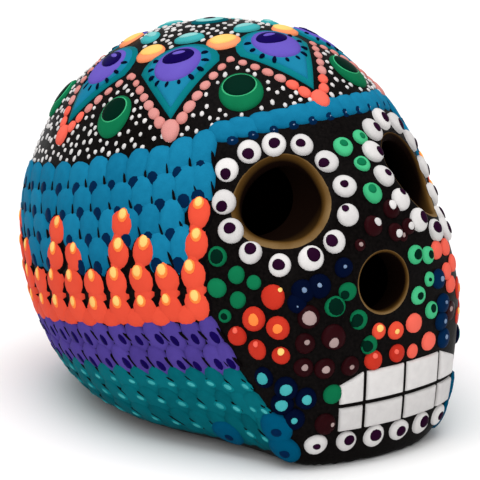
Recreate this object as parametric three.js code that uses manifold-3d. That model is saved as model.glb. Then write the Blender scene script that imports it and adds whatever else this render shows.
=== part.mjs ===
// Painted clay calavera: two hollow moulded halves luted together, with raised paint work on the skin.
// Millimetres, +Z up, face towards -Y, origin in the middle of the flat base.
import * as THREE from 'three';
import { mergeVertices } from 'three/addons/utils/BufferGeometryUtils.js';
import Module from 'manifold-3d';

const wasm = await Module();
wasm.setup();

// Head form: an egg for the cranium and a smaller one for the muzzle, blended, on a flat base
const CORE_Y = -8;
const CORE_Z = 45.8;
const CRANIUM_Y = -3.5;
const CRANIUM_Z = 38.3;
const CRANIUM_SIDE = 42.1;
const CRANIUM_FRONT = 44.5;
const CRANIUM_BACK = 59.8;
const CRANIUM_UP = 50.5;
const CRANIUM_DOWN = 53;
const MUZZLE_Y = -47;
const MUZZLE_Z = 28.3;
const MUZZLE_SIDE = 23.5;
const MUZZLE_FRONT = 9;
const MUZZLE_BACK = 40;
const MUZZLE_UP = 27;
const MUZZLE_DOWN = 50;
const FORM_BLEND = 4;
const BASE_BLEND = 10;
const BASE_SINK = 1.4;
const WALL = 6;

// Two halves, the slip line between them and the coil smoothed over it inside
const SEAM_Y = -8;
const SEAM_GAP = 0.3;
const COIL_WIDTH = 9;
const COIL_HEIGHT = 2.2;
const COIL_EDGE = 0.9;
const COIL_GAP = 1.1;

// Sockets and nose: the nose is placed above the teeth and the sockets above the nose
const EYE_BORE = 19.8;
const EYE_ABOVE_NOSE = 18;
const EYE_RIM = 1.65;
const BRIDGE = 2.2;
const NOSE_BORE = 13.6;
const NOSE_ABOVE_LIP = 19.4;
const BORE_RISE = 10;
const BORE_OUT = 12;
const BORE_IN = 13;

// Raised paint: every daub and bead sits this far off the clay
const SEAT_GAP = 0.35;
const EYE_BEADS = 13;
const EYE_BEAD = 5.6;
const EYE_BEAD_RISE = 1.4;
const BEAD_SPACE = 0.5;
const CHIN_BEAD = 4.6;
const CHIN_BEAD_RISE = 1.1;
const CHIN_SPACE = 2.6;
const CHIN_BEADS = 6;

// Cheek dots: steps from the nose's rim towards the bands and from the teeth up, in a cheek of this size
const CHEEK_WIDTH = 35;
const CHEEK_HEIGHT = 21;
const CHEEK_DOT_RISE = 1.3;
const CHEEK_DOTS = [
  { along: 21, up: 18, size: 5.4 },
  { along: 26, up: 13, size: 5.4 },
  { along: 20.5, up: 11.5, size: 5.2 },
  { along: 30.5, up: 8.5, size: 4.6 },
  { along: 25.5, up: 6, size: 4.6 },
  { along: 20, up: 5, size: 4.2 },
  { along: 14.5, up: 19, size: 5 },
  { along: 13.5, up: 13.5, size: 5 },
  { along: 8, up: 8.5, size: 5.4 },
  { along: 14.5, up: 7.5, size: 4.6 },
  { along: 7, up: 15.5, size: 4.6 },
  { along: 33, up: 18.5, size: 4 },
];

// Teeth: two rows of white tiles, stacked from the chin up, with the column widths along the lip
const TEETH_BOTTOM = 8.2;
const LOWER_TOOTH = 6.4;
const UPPER_TOOTH = 7.8;
const TOOTH_START = -13.2;
const TOOTH_WIDTHS = [6.8, 11.2, 11.4, 7];
const TOOTH_LINE = 0.7;
const TOOTH_RISE = 0.9;
const TOOTH_EDGE = 0.5;

// Scale bands round the head, stacked from the jaw up: heights on the upright axis, falls to the back
const TEAL_BOTTOM = 3.6;
const TEAL_BOTTOM_FALL = -0.04;
const TEAL_HEIGHT = 11.5;
const TEAL_TOP_FALL = -0.17;
const VIOLET_HEIGHT = 11.1;
const VIOLET_TOP_FALL = -0.21;
const ORANGE_HEIGHT = 12.2;
const ORANGE_TOP_FALL = -0.22;
const BLUE_TOP_FALL = -0.4;
const HEADBAND = 2.3;
const BAND_RISE = 0.9;
const BAND_EDGE = 0.6;
const BAND_GAP = 0.5;
const DAUB_WIDTH = 9.2;
const DAUB_GROWTH = 0.28;
const BROW_DAUB = 6.4;
const DAUB_ARCH = 1.9;
const FLAME_STEP = 6.9;
const FLAME_COUNTS = [0, 1, 2];
const FACE_FLAME_COUNT = 2;
const FACE_MARGIN = 0.4;
const VIOLET_TOP_LAP = 3.6;
const TEAL_TOP_LAP = 9.5;
const TEAL_BOTTOM_LAP = 22;

// Crown: a six-fold rosette on an axis leaning back
const CROWN_TILT = 20;
const CROWN_FOLDS = 6;
const PETAL_START = 17;
const PETAL_MARGIN = 4;
const PETAL_SPACE = 7;
const PETAL_RISE = 1.5;
const LEAF_WIDTH = 10.2;
const LEAF_LENGTH = 10.8;
const LEAF_MARGIN = 1.8;
const LEAF_RISE = 1.2;
const ROSETTE = 9;
const ROSETTE_RISE = 1;

// Facets and steps
const RING_STEPS = 240;
const SKIN_COLUMNS = 44;
const SKIN_ROWS = 22;
const HOLLOW_COLUMNS = 28;
const HOLLOW_ROWS = 16;
const BORE_SIDES = 32;
const BEAD_SIDES = 8;
const DOT_SIDES = 6;
const DOT_ROWS = 3;
const PETAL_SIDES = 14;
const LEAF_SIDES = 12;
const COIL_SIDES = 28;
const BLUE_ROW_COUNT = 4;
const ORANGE_ROW_COUNT = 3;
const VIOLET_ROW_COUNT = 2;
const TEAL_ROW_COUNT = 3;
const PETAL_RING_COUNT = 3;
const OVAL_RING_COUNT = 2;

const { degToRad } = THREE.MathUtils;
const CORE = new THREE.Vector3(0, CORE_Y, CORE_Z);
const vec = (x, y, z) => new THREE.Vector3(x, y, z);

// Distance from an egg's centre as a share of its own reach in that direction
function eggShare(x, y, z, side, front, back, up, down) {
  return Math.hypot(x / side, y / (y < 0 ? front : back), z / (z > 0 ? up : down));
}

// Below 1 inside the form and above 1 outside it; inset shrinks the form by a wall
function formShare(p, inset) {
  const cranium = eggShare(p.x, p.y - CRANIUM_Y, p.z - CRANIUM_Z, CRANIUM_SIDE - inset,
    CRANIUM_FRONT - inset, CRANIUM_BACK - inset, CRANIUM_UP - inset, CRANIUM_DOWN - inset);
  const muzzle = eggShare(p.x, p.y - MUZZLE_Y, p.z - MUZZLE_Z, MUZZLE_SIDE - inset,
    MUZZLE_FRONT - inset, MUZZLE_BACK - inset, MUZZLE_UP - inset, MUZZLE_DOWN - inset);
  const joined = (cranium ** -FORM_BLEND + muzzle ** -FORM_BLEND) ** (-1 / FORM_BLEND);
  const sunk = Math.max(0, (CORE_Z - p.z) / (CORE_Z + BASE_SINK - inset));
  return (joined ** BASE_BLEND + sunk ** BASE_BLEND) ** (1 / BASE_BLEND);
}

// Point where a ray from inside leaves the form, held at the flat base
function skinAlong(origin, direction, inset = 0, halvings = 44) {
  let near = 0;
  let far = 2 * (CRANIUM_FRONT + CRANIUM_BACK);
  for (let step = 0; step < halvings; step += 1) {
    const middle = (near + far) / 2;
    if (formShare(origin.clone().addScaledVector(direction, middle), inset) < 1) near = middle;
    else far = middle;
  }
  const base = direction.z < 0 ? (origin.z - inset) / -direction.z : far;
  return origin.clone().addScaledVector(direction, Math.min(near, base));
}

// Outward direction of the skin at a point
function skinNormal(p) {
  const step = 0.05;
  const slope = (dx, dy, dz) => formShare(vec(p.x + dx, p.y + dy, p.z + dz), 0)
    - formShare(vec(p.x - dx, p.y - dy, p.z - dz), 0);
  return vec(slope(step, 0, 0), slope(0, step, 0), slope(0, 0, step)).normalize();
}

const seatAt = (point) => ({ point, normal: skinNormal(point) });
const lifted = (seat, height) => seat.point.clone().addScaledVector(seat.normal, SEAT_GAP + height);

// Level line round the head: the skin cut by a plane that falls towards the back
class Ring {
  constructor(height, fall) {
    this.origin = vec(0, CORE_Y, height + fall * CORE_Y);
    this.fall = fall;
  }

  point(azimuth) {
    const ahead = -Math.cos(azimuth);
    return skinAlong(this.origin, vec(Math.sin(azimuth), ahead, this.fall * ahead));
  }

  // Lengths along the line from the middle of the face to the back, at even steps of azimuth
  get runs() {
    if (!this.table) {
      this.table = [0];
      let last = this.point(0);
      for (let i = 1; i <= RING_STEPS; i += 1) {
        const next = this.point((Math.PI * i) / RING_STEPS);
        this.table.push(this.table[i - 1] + next.distanceTo(last));
        last = next;
      }
    }
    return this.table;
  }

  get halfLength() {
    return this.runs[RING_STEPS];
  }

  // Length from the middle of the face to an azimuth, and the azimuth at a length, towards +X
  distance(azimuth) {
    const place = (azimuth * RING_STEPS) / Math.PI;
    const i = Math.min(Math.floor(place), RING_STEPS - 1);
    return THREE.MathUtils.lerp(this.runs[i], this.runs[i + 1], place - i);
  }

  azimuth(distance) {
    const reach = Math.min(Math.abs(distance), this.halfLength);
    const i = Math.max(1, this.runs.findIndex((length) => length >= reach));
    const share = (reach - this.runs[i - 1]) / (this.runs[i] - this.runs[i - 1]);
    return (Math.sign(distance) * Math.PI * (i - 1 + share)) / RING_STEPS;
  }
}

// Closed solids from and to boolean form
function toSolid(geometry) {
  const bare = geometry.clone();
  bare.deleteAttribute('normal');
  bare.deleteAttribute('uv');
  const merged = mergeVertices(bare, 1e-4);
  return new wasm.Manifold(new wasm.Mesh({
    numProp: 3,
    vertProperties: new Float32Array(merged.attributes.position.array),
    triVerts: new Uint32Array(merged.index.array),
  }));
}

function fromArrays(positions, triangles) {
  const geometry = new THREE.BufferGeometry();
  geometry.setAttribute('position', new THREE.Float32BufferAttribute(positions, 3));
  geometry.setIndex(triangles);
  geometry.computeVertexNormals();
  return geometry;
}

function toGeometry(solid) {
  const mesh = solid.getMesh();
  return fromArrays(Array.from(mesh.vertProperties), Array.from(mesh.triVerts));
}

// Whole form, filled, from a sphere's grid pushed out to the skin
function filledForm(inset, columns, rows) {
  const ball = new THREE.SphereGeometry(1, columns, rows).rotateX(Math.PI / 2);
  const position = ball.attributes.position;
  for (let i = 0; i < position.count; i += 1) {
    const direction = new THREE.Vector3().fromBufferAttribute(position, i).normalize();
    position.setXYZ(i, ...skinAlong(CORE, direction, inset).toArray());
  }
  return toSolid(ball);
}

// Straight bore that looks ahead and a little up; its mouth is a circle laid flat on the skin at a seat
function bore(seat, diameter) {
  const depth = BORE_OUT + BORE_IN;
  const cutter = new THREE.CylinderGeometry(diameter / 2, diameter / 2, depth, BORE_SIDES);
  cutter.translate(0, BORE_OUT - depth / 2, 0);
  const ahead = vec(0, -Math.cos(degToRad(BORE_RISE)), Math.sin(degToRad(BORE_RISE)));
  const across = vec(0, 0, 1).cross(seat.normal).normalize();
  const slant = ahead.clone().divideScalar(ahead.dot(seat.normal));
  cutter.applyMatrix4(new THREE.Matrix4().makeBasis(across, slant, across.clone().cross(seat.normal)));
  cutter.translate(...seat.point.toArray());
  return toSolid(cutter);
}

// Block that holds everything in front of the seam, or everything behind it
function halfSpace(side) {
  const size = 4 * (CRANIUM_BACK + CRANIUM_FRONT);
  const block = new THREE.BoxGeometry(size, size, size);
  block.translate(0, SEAM_Y + side * (size + SEAM_GAP) / 2, 0);
  return toSolid(block);
}

// Closed body over a grid of seats: top skin, underside and the walls round its edge
function drapedSheet(seats, rise, closedRing) {
  const columns = seats.length;
  const rows = seats[0].length;
  const positions = [];
  const index = (column, row, top) => 2 * ((column % columns) * rows + row) + (top ? 1 : 0);
  seats.forEach((line, column) => line.forEach((seat, row) => {
    positions.push(...lifted(seat, 0).toArray());
    positions.push(...lifted(seat, rise(column / (columns - 1), row / (rows - 1))).toArray());
  }));
  const triangles = [];
  const corner = (i) => vec(...positions.slice(3 * i, 3 * i + 3));
  const quad = (a, b, c, d) => {
    const firstIsShort = corner(a).distanceTo(corner(c)) <= corner(b).distanceTo(corner(d));
    triangles.push(...(firstIsShort ? [a, b, c, a, c, d] : [a, b, d, b, c, d]));
  };
  const spans = closedRing ? columns : columns - 1;
  for (let c = 0; c < spans; c += 1) {
    for (let r = 0; r < rows - 1; r += 1) {
      quad(index(c, r, true), index(c + 1, r, true), index(c + 1, r + 1, true), index(c, r + 1, true));
      quad(index(c, r), index(c, r + 1), index(c + 1, r + 1), index(c + 1, r));
    }
    const last = rows - 1;
    quad(index(c, 0), index(c + 1, 0), index(c + 1, 0, true), index(c, 0, true));
    quad(index(c, last, true), index(c + 1, last, true), index(c + 1, last), index(c, last));
  }
  if (!closedRing) {
    const end = columns - 1;
    for (let r = 0; r < rows - 1; r += 1) {
      quad(index(0, r), index(0, r, true), index(0, r + 1, true), index(0, r + 1));
      quad(index(end, r, true), index(end, r), index(end, r + 1), index(end, r + 1, true));
    }
  }
  return fromArrays(positions, triangles);
}

// Closed dome over an outline: rings of seats that shrink to the middle, thin at the edge
function drapedDome(outline, seatFor, rise, rings) {
  const sides = outline.length;
  const positions = [];
  const place = (seat, heights) => heights.forEach((h) => positions.push(...lifted(seat, h).toArray()));
  place(seatFor(0, 0), [0, rise]);
  for (let ring = 1; ring <= rings; ring += 1) {
    const share = ring / rings;
    const heights = ring < rings ? [0, rise * Math.sqrt(1 - share ** 4)] : [0];
    outline.forEach(([across, outward]) => place(seatFor(across * share, outward * share), heights));
  }
  const edgeStart = 2 + 2 * (rings - 1) * sides;
  const index = (ring, side, top) => {
    if (ring === rings) return edgeStart + (side % sides);
    return (ring === 0 ? 0 : 2 + 2 * ((ring - 1) * sides + (side % sides))) + (top ? 1 : 0);
  };
  const triangles = [];
  for (let side = 0; side < sides; side += 1) {
    triangles.push(index(0, 0, true), index(1, side, true), index(1, side + 1, true));
    triangles.push(index(0, 0), index(1, side + 1), index(1, side));
    for (let ring = 1; ring < rings; ring += 1) {
      const corners = (top) => [index(ring, side, top), index(ring + 1, side, top),
        index(ring + 1, side + 1, top), index(ring, side + 1, top)];
      const [a, b, c, d] = corners(true);
      triangles.push(a, b, c, a, c, d);
      const [e, f, g, h] = corners(false);
      triangles.push(e, g, f, e, h, g);
    }
  }
  return fromArrays(positions, triangles);
}

// Samples over one daub: the cusp and the two shoulders of its arch, and how far in a flame's side climbs
const DAUB_SAMPLES = [0, 0.25, 0.75];
const FLAME_SIDE = 0.2;
const archOf = (share) => Math.sqrt(Math.max(0, 1 - (2 * share - 1) ** 2));

// One piece: a named mesh with a finish of its own
const skull = new THREE.Group();
function addPiece(name, geometry, finish) {
  const mesh = new THREE.Mesh(geometry, new THREE.MeshStandardMaterial({ metalness: 0, ...finish }));
  mesh.name = name;
  skull.add(mesh);
  return mesh;
}

const BLACK_GROUND = { color: 0x15110f, roughness: 0.3 };
const RAW_CLAY = { color: 0x8a6238, roughness: 0.85 };
const WHITE_PAINT = { color: 0xece6e2, roughness: 0.35 };
const BLUE_PAINT = { color: 0x0079b4, roughness: 0.35 };
const ORANGE_PAINT = { color: 0xff5436, roughness: 0.35 };
const VIOLET_PAINT = { color: 0x5a43a8, roughness: 0.35 };
const TEAL_PAINT = { color: 0x00787d, roughness: 0.35 };
const GREEN_PAINT = { color: 0x008f4e, roughness: 0.3 };

// Heights up the face
const mouthHeight = TEETH_BOTTOM + LOWER_TOOTH;
const teethTop = mouthHeight + UPPER_TOOTH;
const noseHeight = teethTop + NOSE_ABOVE_LIP;
const eyeHeight = noseHeight + EYE_ABOVE_NOSE;

// Seats on the face: the skin straight ahead of a place on the upright axis
const faceSeat = (x, height) => seatAt(skinAlong(vec(x, CORE_Y, height), vec(0, -1, 0)));

// Seat beside another one, by steps along the skin to the right and upwards
function seatBeside(centre, right, up) {
  const across = vec(0, 0, 1).cross(centre.normal).normalize();
  const upward = centre.normal.clone().cross(across);
  const inside = centre.point.clone().addScaledVector(centre.normal, -2 * WALL);
  inside.addScaledVector(across, right).addScaledVector(upward, up);
  return seatAt(skinAlong(inside, centre.normal));
}

// The bead ring lies just outside the socket's rim and is never too tight for its beads
const tightRing = (EYE_BEAD + BEAD_SPACE) / (2 * Math.sin(Math.PI / EYE_BEADS));
const ringRadius = Math.max(EYE_BORE / 2 + EYE_RIM + EYE_BEAD / 2, tightRing);
const eyeSpread = BRIDGE + 2 * ringRadius + EYE_BEAD;
const eyeSeats = [-1, 1].map((side) => faceSeat((side * eyeSpread) / 2, eyeHeight));
const noseSeat = faceSeat(0, noseHeight);

// Clay halves, parted at the seam, with the dots raised on the face and the sockets and nose bored through it
function clayHalves() {
  const filled = filledForm(0, SKIN_COLUMNS, SKIN_ROWS);
  const shell = filled.subtract(filledForm(WALL, HOLLOW_COLUMNS, HOLLOW_ROWS));
  const cutters = eyeSeats.map((seat) => bore(seat, EYE_BORE));
  cutters.push(bore(noseSeat, NOSE_BORE));
  const dotted = cheekDots().reduce((solid, dot) => solid.add(dot), shell.intersect(halfSpace(-1)));
  const face = cutters.reduce((solid, cutter) => solid.subtract(cutter), dotted);
  addPiece('face_shell', toGeometry(face), BLACK_GROUND);
  addPiece('cranium_shell', toGeometry(shell.intersect(halfSpace(1))), BLACK_GROUND);
}

// Coil of soft clay smoothed over the seam inside: a flat-backed ring that follows the hollow
function seamCoil() {
  const turns = COIL_SIDES;
  const across = [-1, 0, 1];
  const hollowAt = (turn, shift) => {
    const origin = vec(0, SEAM_Y + (shift * COIL_WIDTH) / 2, CORE_Z);
    const direction = vec(Math.sin(turn), 0, Math.cos(turn));
    const reach = skinAlong(origin, direction, WALL).distanceTo(origin);
    return { origin, direction, reach };
  };
  const positions = [];
  for (let i = 0; i < turns; i += 1) {
    const ribs = across.map((shift) => hollowAt((2 * Math.PI * i) / turns, shift));
    const outer = ribs.map((rib) => rib.reach - COIL_GAP);
    const heights = across.map((shift) => (shift === 0 ? COIL_HEIGHT : COIL_EDGE));
    ribs.forEach((rib, k) => {
      positions.push(...rib.origin.clone().addScaledVector(rib.direction, outer[k]).toArray());
    });
    [2, 1, 0].forEach((k) => {
      const inner = outer[k] - heights[k];
      positions.push(...ribs[k].origin.clone().addScaledVector(ribs[k].direction, inner).toArray());
    });
  }
  const section = 2 * across.length;
  const index = (i, k) => (i % turns) * section + (k % section);
  const triangles = [];
  for (let i = 0; i < turns; i += 1) {
    for (let k = 0; k < section; k += 1) {
      triangles.push(index(i, k), index(i + 1, k + 1), index(i, k + 1));
      triangles.push(index(i, k), index(i + 1, k), index(i + 1, k + 1));
    }
  }
  addPiece('seam_coil', fromArrays(positions, triangles), RAW_CLAY);
}

// Paint beads: small domes turned on a lathe and set square to the skin, in shares of radius and rise
const BEAD_PROFILE = [[0, 0], [0.9, 0], [1, 0.35], [0.65, 0.9], [0, 1]];

function beadGeometry(diameter, rise) {
  const radius = diameter / 2;
  const profile = BEAD_PROFILE.map(([out, up]) => new THREE.Vector2(out * radius, up * rise));
  return new THREE.LatheGeometry(profile, BEAD_SIDES);
}

function addBead(name, seat, geometry) {
  const mesh = addPiece(name, geometry, WHITE_PAINT);
  mesh.position.copy(lifted(seat, 0));
  mesh.quaternion.setFromUnitVectors(vec(0, 1, 0), seat.normal);
}

// Ring of white beads round each socket
function eyeBeads() {
  const geometry = beadGeometry(EYE_BEAD, EYE_BEAD_RISE);
  eyeSeats.forEach((centre, side) => {
    for (let i = 0; i < EYE_BEADS; i += 1) {
      const turn = (2 * Math.PI * (i + 0.5)) / EYE_BEADS;
      const seat = seatBeside(centre, ringRadius * Math.sin(turn), ringRadius * Math.cos(turn));
      addBead(`${side === 0 ? 'right' : 'left'}_eye_bead_${i + 1}`, seat, geometry);
    }
  });
}

// Row of white beads along the chin, just under the teeth
function chinBeads() {
  const height = TEETH_BOTTOM - (CHIN_BEAD + TOOTH_LINE) / 2;
  const pitch = CHIN_BEAD + CHIN_SPACE;
  const ring = new Ring(height, 0);
  const middle = (CHIN_BEADS - 1) / 2;
  const geometry = beadGeometry(CHIN_BEAD, CHIN_BEAD_RISE);
  for (let i = 0; i < CHIN_BEADS; i += 1) {
    const seat = seatAt(ring.point(ring.azimuth((i - middle) * pitch)));
    addBead(`chin_bead_${i + 1}`, seat, geometry);
  }
}

// Teeth: pillow tiles in two rows along the lip, parted by the drawn lines
function teeth() {
  const lip = new Ring(mouthHeight, 0);
  const steps = [0, 1 / 3, 2 / 3, 1];
  const rim = (u, v) => Math.max(Math.abs(2 * u - 1), Math.abs(2 * v - 1)) ** 3;
  const pillow = (u, v) => THREE.MathUtils.lerp(TOOTH_RISE, TOOTH_EDGE, rim(u, v));
  const rowEdges = { upper: [mouthHeight, teethTop], lower: [TEETH_BOTTOM, mouthHeight] };
  let start = TOOTH_START;
  TOOTH_WIDTHS.forEach((width, column) => {
    const azimuths = steps.map((s) => lip.azimuth(start + TOOTH_LINE / 2 + s * (width - TOOTH_LINE)));
    Object.entries(rowEdges).forEach(([row, [low, high]]) => {
      const heights = steps.map((s) => low + TOOTH_LINE / 2 + s * (high - low - TOOTH_LINE));
      const levels = heights.map((height) => new Ring(height, 0));
      const seats = azimuths.map((azimuth) => levels.map((level) => seatAt(level.point(azimuth))));
      addPiece(`tooth_${row}_${column + 1}`, drapedSheet(seats, pillow, false), WHITE_PAINT);
    });
    start += width;
  });
}

// Outer line of the beads round the left socket with the margin kept beside it
const beadLine = Array.from({ length: RING_STEPS }, (_, i) => {
  const turn = (2 * Math.PI * i) / RING_STEPS;
  const radius = ringRadius + EYE_BEAD / 2 + FACE_MARGIN;
  return seatBeside(eyeSeats[1], radius * Math.sin(turn), radius * Math.cos(turn)).point;
});

// Azimuth where the bands stop beside the sockets, and the headband's lower level over the brow
const FACE_AZIMUTH = Math.max(...beadLine.map((p) => Math.atan2(p.x, CORE_Y - p.y)));
const BROW_LEVEL = Math.max(...beadLine.map((p) => p.z - BLUE_TOP_FALL * p.y));

// Raised dots on both cheeks, drawn together where the cheek is smaller than the one they are laid out for
function cheekDots() {
  const noseEdge = NOSE_BORE / 2;
  const middle = new Ring(teethTop + CHEEK_HEIGHT / 2, 0);
  const width = middle.distance(FACE_AZIMUTH) - VIOLET_TOP_LAP - noseEdge;
  const height = Math.min(...beadLine.map((p) => p.z)) - teethTop;
  const scale = Math.min(1, width / CHEEK_WIDTH, height / CHEEK_HEIGHT);
  return [-1, 1].flatMap((side) => CHEEK_DOTS.map(({ along, up, size }) => {
    const ring = new Ring(teethTop + up * scale, 0);
    const seat = seatAt(ring.point(ring.azimuth(side * (noseEdge + along * scale))));
    const dot = new THREE.SphereGeometry(1, DOT_SIDES, DOT_ROWS);
    dot.scale((size * scale) / 2, CHEEK_DOT_RISE, (size * scale) / 2);
    dot.applyQuaternion(new THREE.Quaternion().setFromUnitVectors(vec(0, 1, 0), seat.normal));
    return toSolid(dot.translate(...seat.point.toArray()));
  }));
}

// Edges of the painted bands, from the jaw up: level, fall to the back and reach into the face
const violetBase = TEAL_BOTTOM + TEAL_HEIGHT;
const orangeBase = violetBase + VIOLET_HEIGHT;
const blueBase = orangeBase + ORANGE_HEIGHT;
const blueTop = BROW_LEVEL + HEADBAND;
const EDGES = {
  blueTop: { height: blueTop, fall: BLUE_TOP_FALL, forward: 0, arch: DAUB_ARCH, flame: 0 },
  orangeTop: { height: blueBase, fall: ORANGE_TOP_FALL, forward: 0, arch: DAUB_ARCH, flame: FLAME_STEP },
  violetTop: {
    height: orangeBase, fall: VIOLET_TOP_FALL, forward: VIOLET_TOP_LAP, arch: DAUB_ARCH, flame: 0,
  },
  tealTop: { height: violetBase, fall: TEAL_TOP_FALL, forward: TEAL_TOP_LAP, arch: DAUB_ARCH, flame: 0 },
  tealBottom: { height: TEAL_BOTTOM, fall: TEAL_BOTTOM_FALL, forward: TEAL_BOTTOM_LAP, arch: 0, flame: 0 },
};
const faceReach = (ring, forward) => ring.distance(FACE_AZIMUTH) - forward;

const widest = new Ring(blueBase, ORANGE_TOP_FALL);
const DAUBS = Math.round((2 * (widest.halfLength - faceReach(widest, 0))) / DAUB_WIDTH);

// Flame steps above a daub, counted from the nearer end of the band
function flameSteps(daub) {
  const fromEnd = Math.max(0, Math.min(daub, DAUBS - 1 - daub));
  return fromEnd === 0 ? FACE_FLAME_COUNT : FLAME_COUNTS[(fromEnd - 1) % FLAME_COUNTS.length];
}

// Height of an edge above its own level at a place counted in daubs along the band
function edgeRise(edge, place) {
  const daub = Math.min(Math.floor(place), DAUBS - 1);
  const share = place - daub;
  const own = flameSteps(daub);
  const beside = flameSteps(share < 0.5 ? daub - 1 : daub + 1);
  const climb = Math.min(1, Math.min(share, 1 - share) / FLAME_SIDE);
  const steps = THREE.MathUtils.lerp(Math.min(own, beside), own, climb);
  return edge.flame * steps + edge.arch * archOf(share);
}

// Places along a band, counted in daubs, where its edges are sampled
function daubPlaces(count) {
  const places = [];
  for (let daub = 0; daub < count; daub += 1) DAUB_SAMPLES.forEach((share) => places.push(daub + share));
  return [...places, count];
}

// The same, with more samples up the sides of the tall flames
function flamePlaces() {
  const places = daubPlaces(DAUBS);
  for (let daub = 1; daub < DAUBS; daub += 1) {
    const climb = flameSteps(daub) - flameSteps(daub - 1);
    for (let step = 1; step < Math.abs(climb); step += 1) places.push(daub + (FLAME_SIDE * step) / climb);
  }
  return places.sort((a, b) => a - b);
}

// Samples of an edge round the back of the head: the daubs grow from the face to the back
function edgeLine(edge, places) {
  const ring = new Ring(edge.height, edge.fall);
  const start = faceReach(ring, edge.forward);
  const turn = 2 * Math.PI;
  const eased = (share) => share - (DAUB_GROWTH * Math.sin(turn * share)) / turn;
  return places.map((place) => {
    const reach = start + 2 * (ring.halfLength - start) * eased(place / DAUBS);
    const pastBack = reach > ring.halfLength;
    const azimuth = ring.azimuth(pastBack ? 2 * ring.halfLength - reach : reach);
    const height = edge.height + edgeRise(edge, place);
    return { azimuth: pastBack ? 2 * Math.PI - azimuth : azimuth, height, fall: edge.fall };
  });
}

// Seats between a sample of a lower edge and one of an upper edge, kept clear of both
function bandColumn(low, high, rows) {
  return Array.from({ length: rows + 1 }, (_, r) => {
    const t = r / rows;
    const mix = (key) => THREE.MathUtils.lerp(low[key], high[key], t);
    const clear = BAND_GAP * (0.5 - t);
    return seatAt(new Ring(mix('height') + clear, mix('fall')).point(mix('azimuth')));
  });
}

const bandRise = (u, v) => THREE.MathUtils.lerp(BAND_EDGE, BAND_RISE, Math.sin(Math.PI * v));

// Bands that run round the back from one side of the face to the other
function backBand(name, lowEdge, highEdge, places, rows, finish) {
  const low = edgeLine(lowEdge, places);
  const high = edgeLine(highEdge, places);
  const seats = low.map((sample, i) => bandColumn(sample, high[i], rows));
  addPiece(name, drapedSheet(seats, bandRise, false), finish);
}

// Blue band: the back rows closed into a ring by the narrow headband over the brow
function blueBand(rows) {
  const places = flamePlaces();
  const low = edgeLine(EDGES.orangeTop, places);
  const high = edgeLine(EDGES.blueTop, places);
  const back = low.map((sample, i) => bandColumn(sample, high[i], rows));
  const brow = new Ring(blueTop, BLUE_TOP_FALL);
  const reach = faceReach(brow, BAND_GAP);
  const count = Math.round((2 * reach) / BROW_DAUB);
  const front = daubPlaces(count).map((place) => {
    const azimuth = brow.azimuth(((2 * place) / count - 1) * reach);
    const top = { azimuth, height: blueTop + DAUB_ARCH * archOf(place % 1), fall: BLUE_TOP_FALL };
    return bandColumn({ ...top, height: BROW_LEVEL }, top, rows);
  });
  addPiece('blue_scale_band', drapedSheet([...back, ...front], bandRise, true), BLUE_PAINT);
}

// Crown: directions by turn round the leaning axis and by angle away from it
const tilt = degToRad(CROWN_TILT);
const CROWN_AXIS = vec(0, Math.sin(tilt), Math.cos(tilt));
const CROWN_FRONT = vec(0, -Math.cos(tilt), Math.sin(tilt));
const CROWN_RADIUS = skinAlong(CORE, CROWN_AXIS).distanceTo(CORE);

// Reach from the top of the crown to the tips of the blue scales, where they come nearest
const blueTips = new Ring(blueTop + DAUB_ARCH, BLUE_TOP_FALL);
const CROWN_REACH = CROWN_RADIUS * Math.min(...Array.from({ length: RING_STEPS }, (_, i) => {
  const tip = blueTips.point((Math.PI * i) / RING_STEPS);
  return tip.sub(CORE).angleTo(CROWN_AXIS);
}));

// Seats near the top of the crown, by steps to the right and forward, and further out by turn and reach
function crownPatch(right, front) {
  const direction = CROWN_AXIS.clone().multiplyScalar(CROWN_RADIUS).addScaledVector(CROWN_FRONT, front);
  direction.x += right;
  return seatAt(skinAlong(CORE, direction.normalize()));
}

function crownSeat(turn, reach, across, outward) {
  const angle = (reach + outward) / CROWN_RADIUS;
  const swing = turn + across / (CROWN_RADIUS * Math.sin(angle));
  const direction = CROWN_AXIS.clone().multiplyScalar(Math.cos(angle));
  direction.addScaledVector(CROWN_FRONT, Math.sin(angle) * Math.cos(swing));
  direction.x += Math.sin(angle) * Math.sin(swing);
  return seatAt(skinAlong(CORE, direction));
}

// Outlines about a middle: a drop with its point outwards, and an oval
const DROP_FULLNESS = (3 * Math.sqrt(3)) / 4;
const dropOutline = (width, length) => (t) => [
  (width / 2) * DROP_FULLNESS * Math.sin(t) * Math.sin(t / 2),
  (length / 2) * Math.cos(t),
];
const ovalOutline = (width, length) => (t) => [(width / 2) * Math.sin(t), (length / 2) * Math.cos(t)];
const outlineOf = (sides, shape) => Array.from({ length: sides }, (_, i) => shape((2 * Math.PI * i) / sides));

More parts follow.
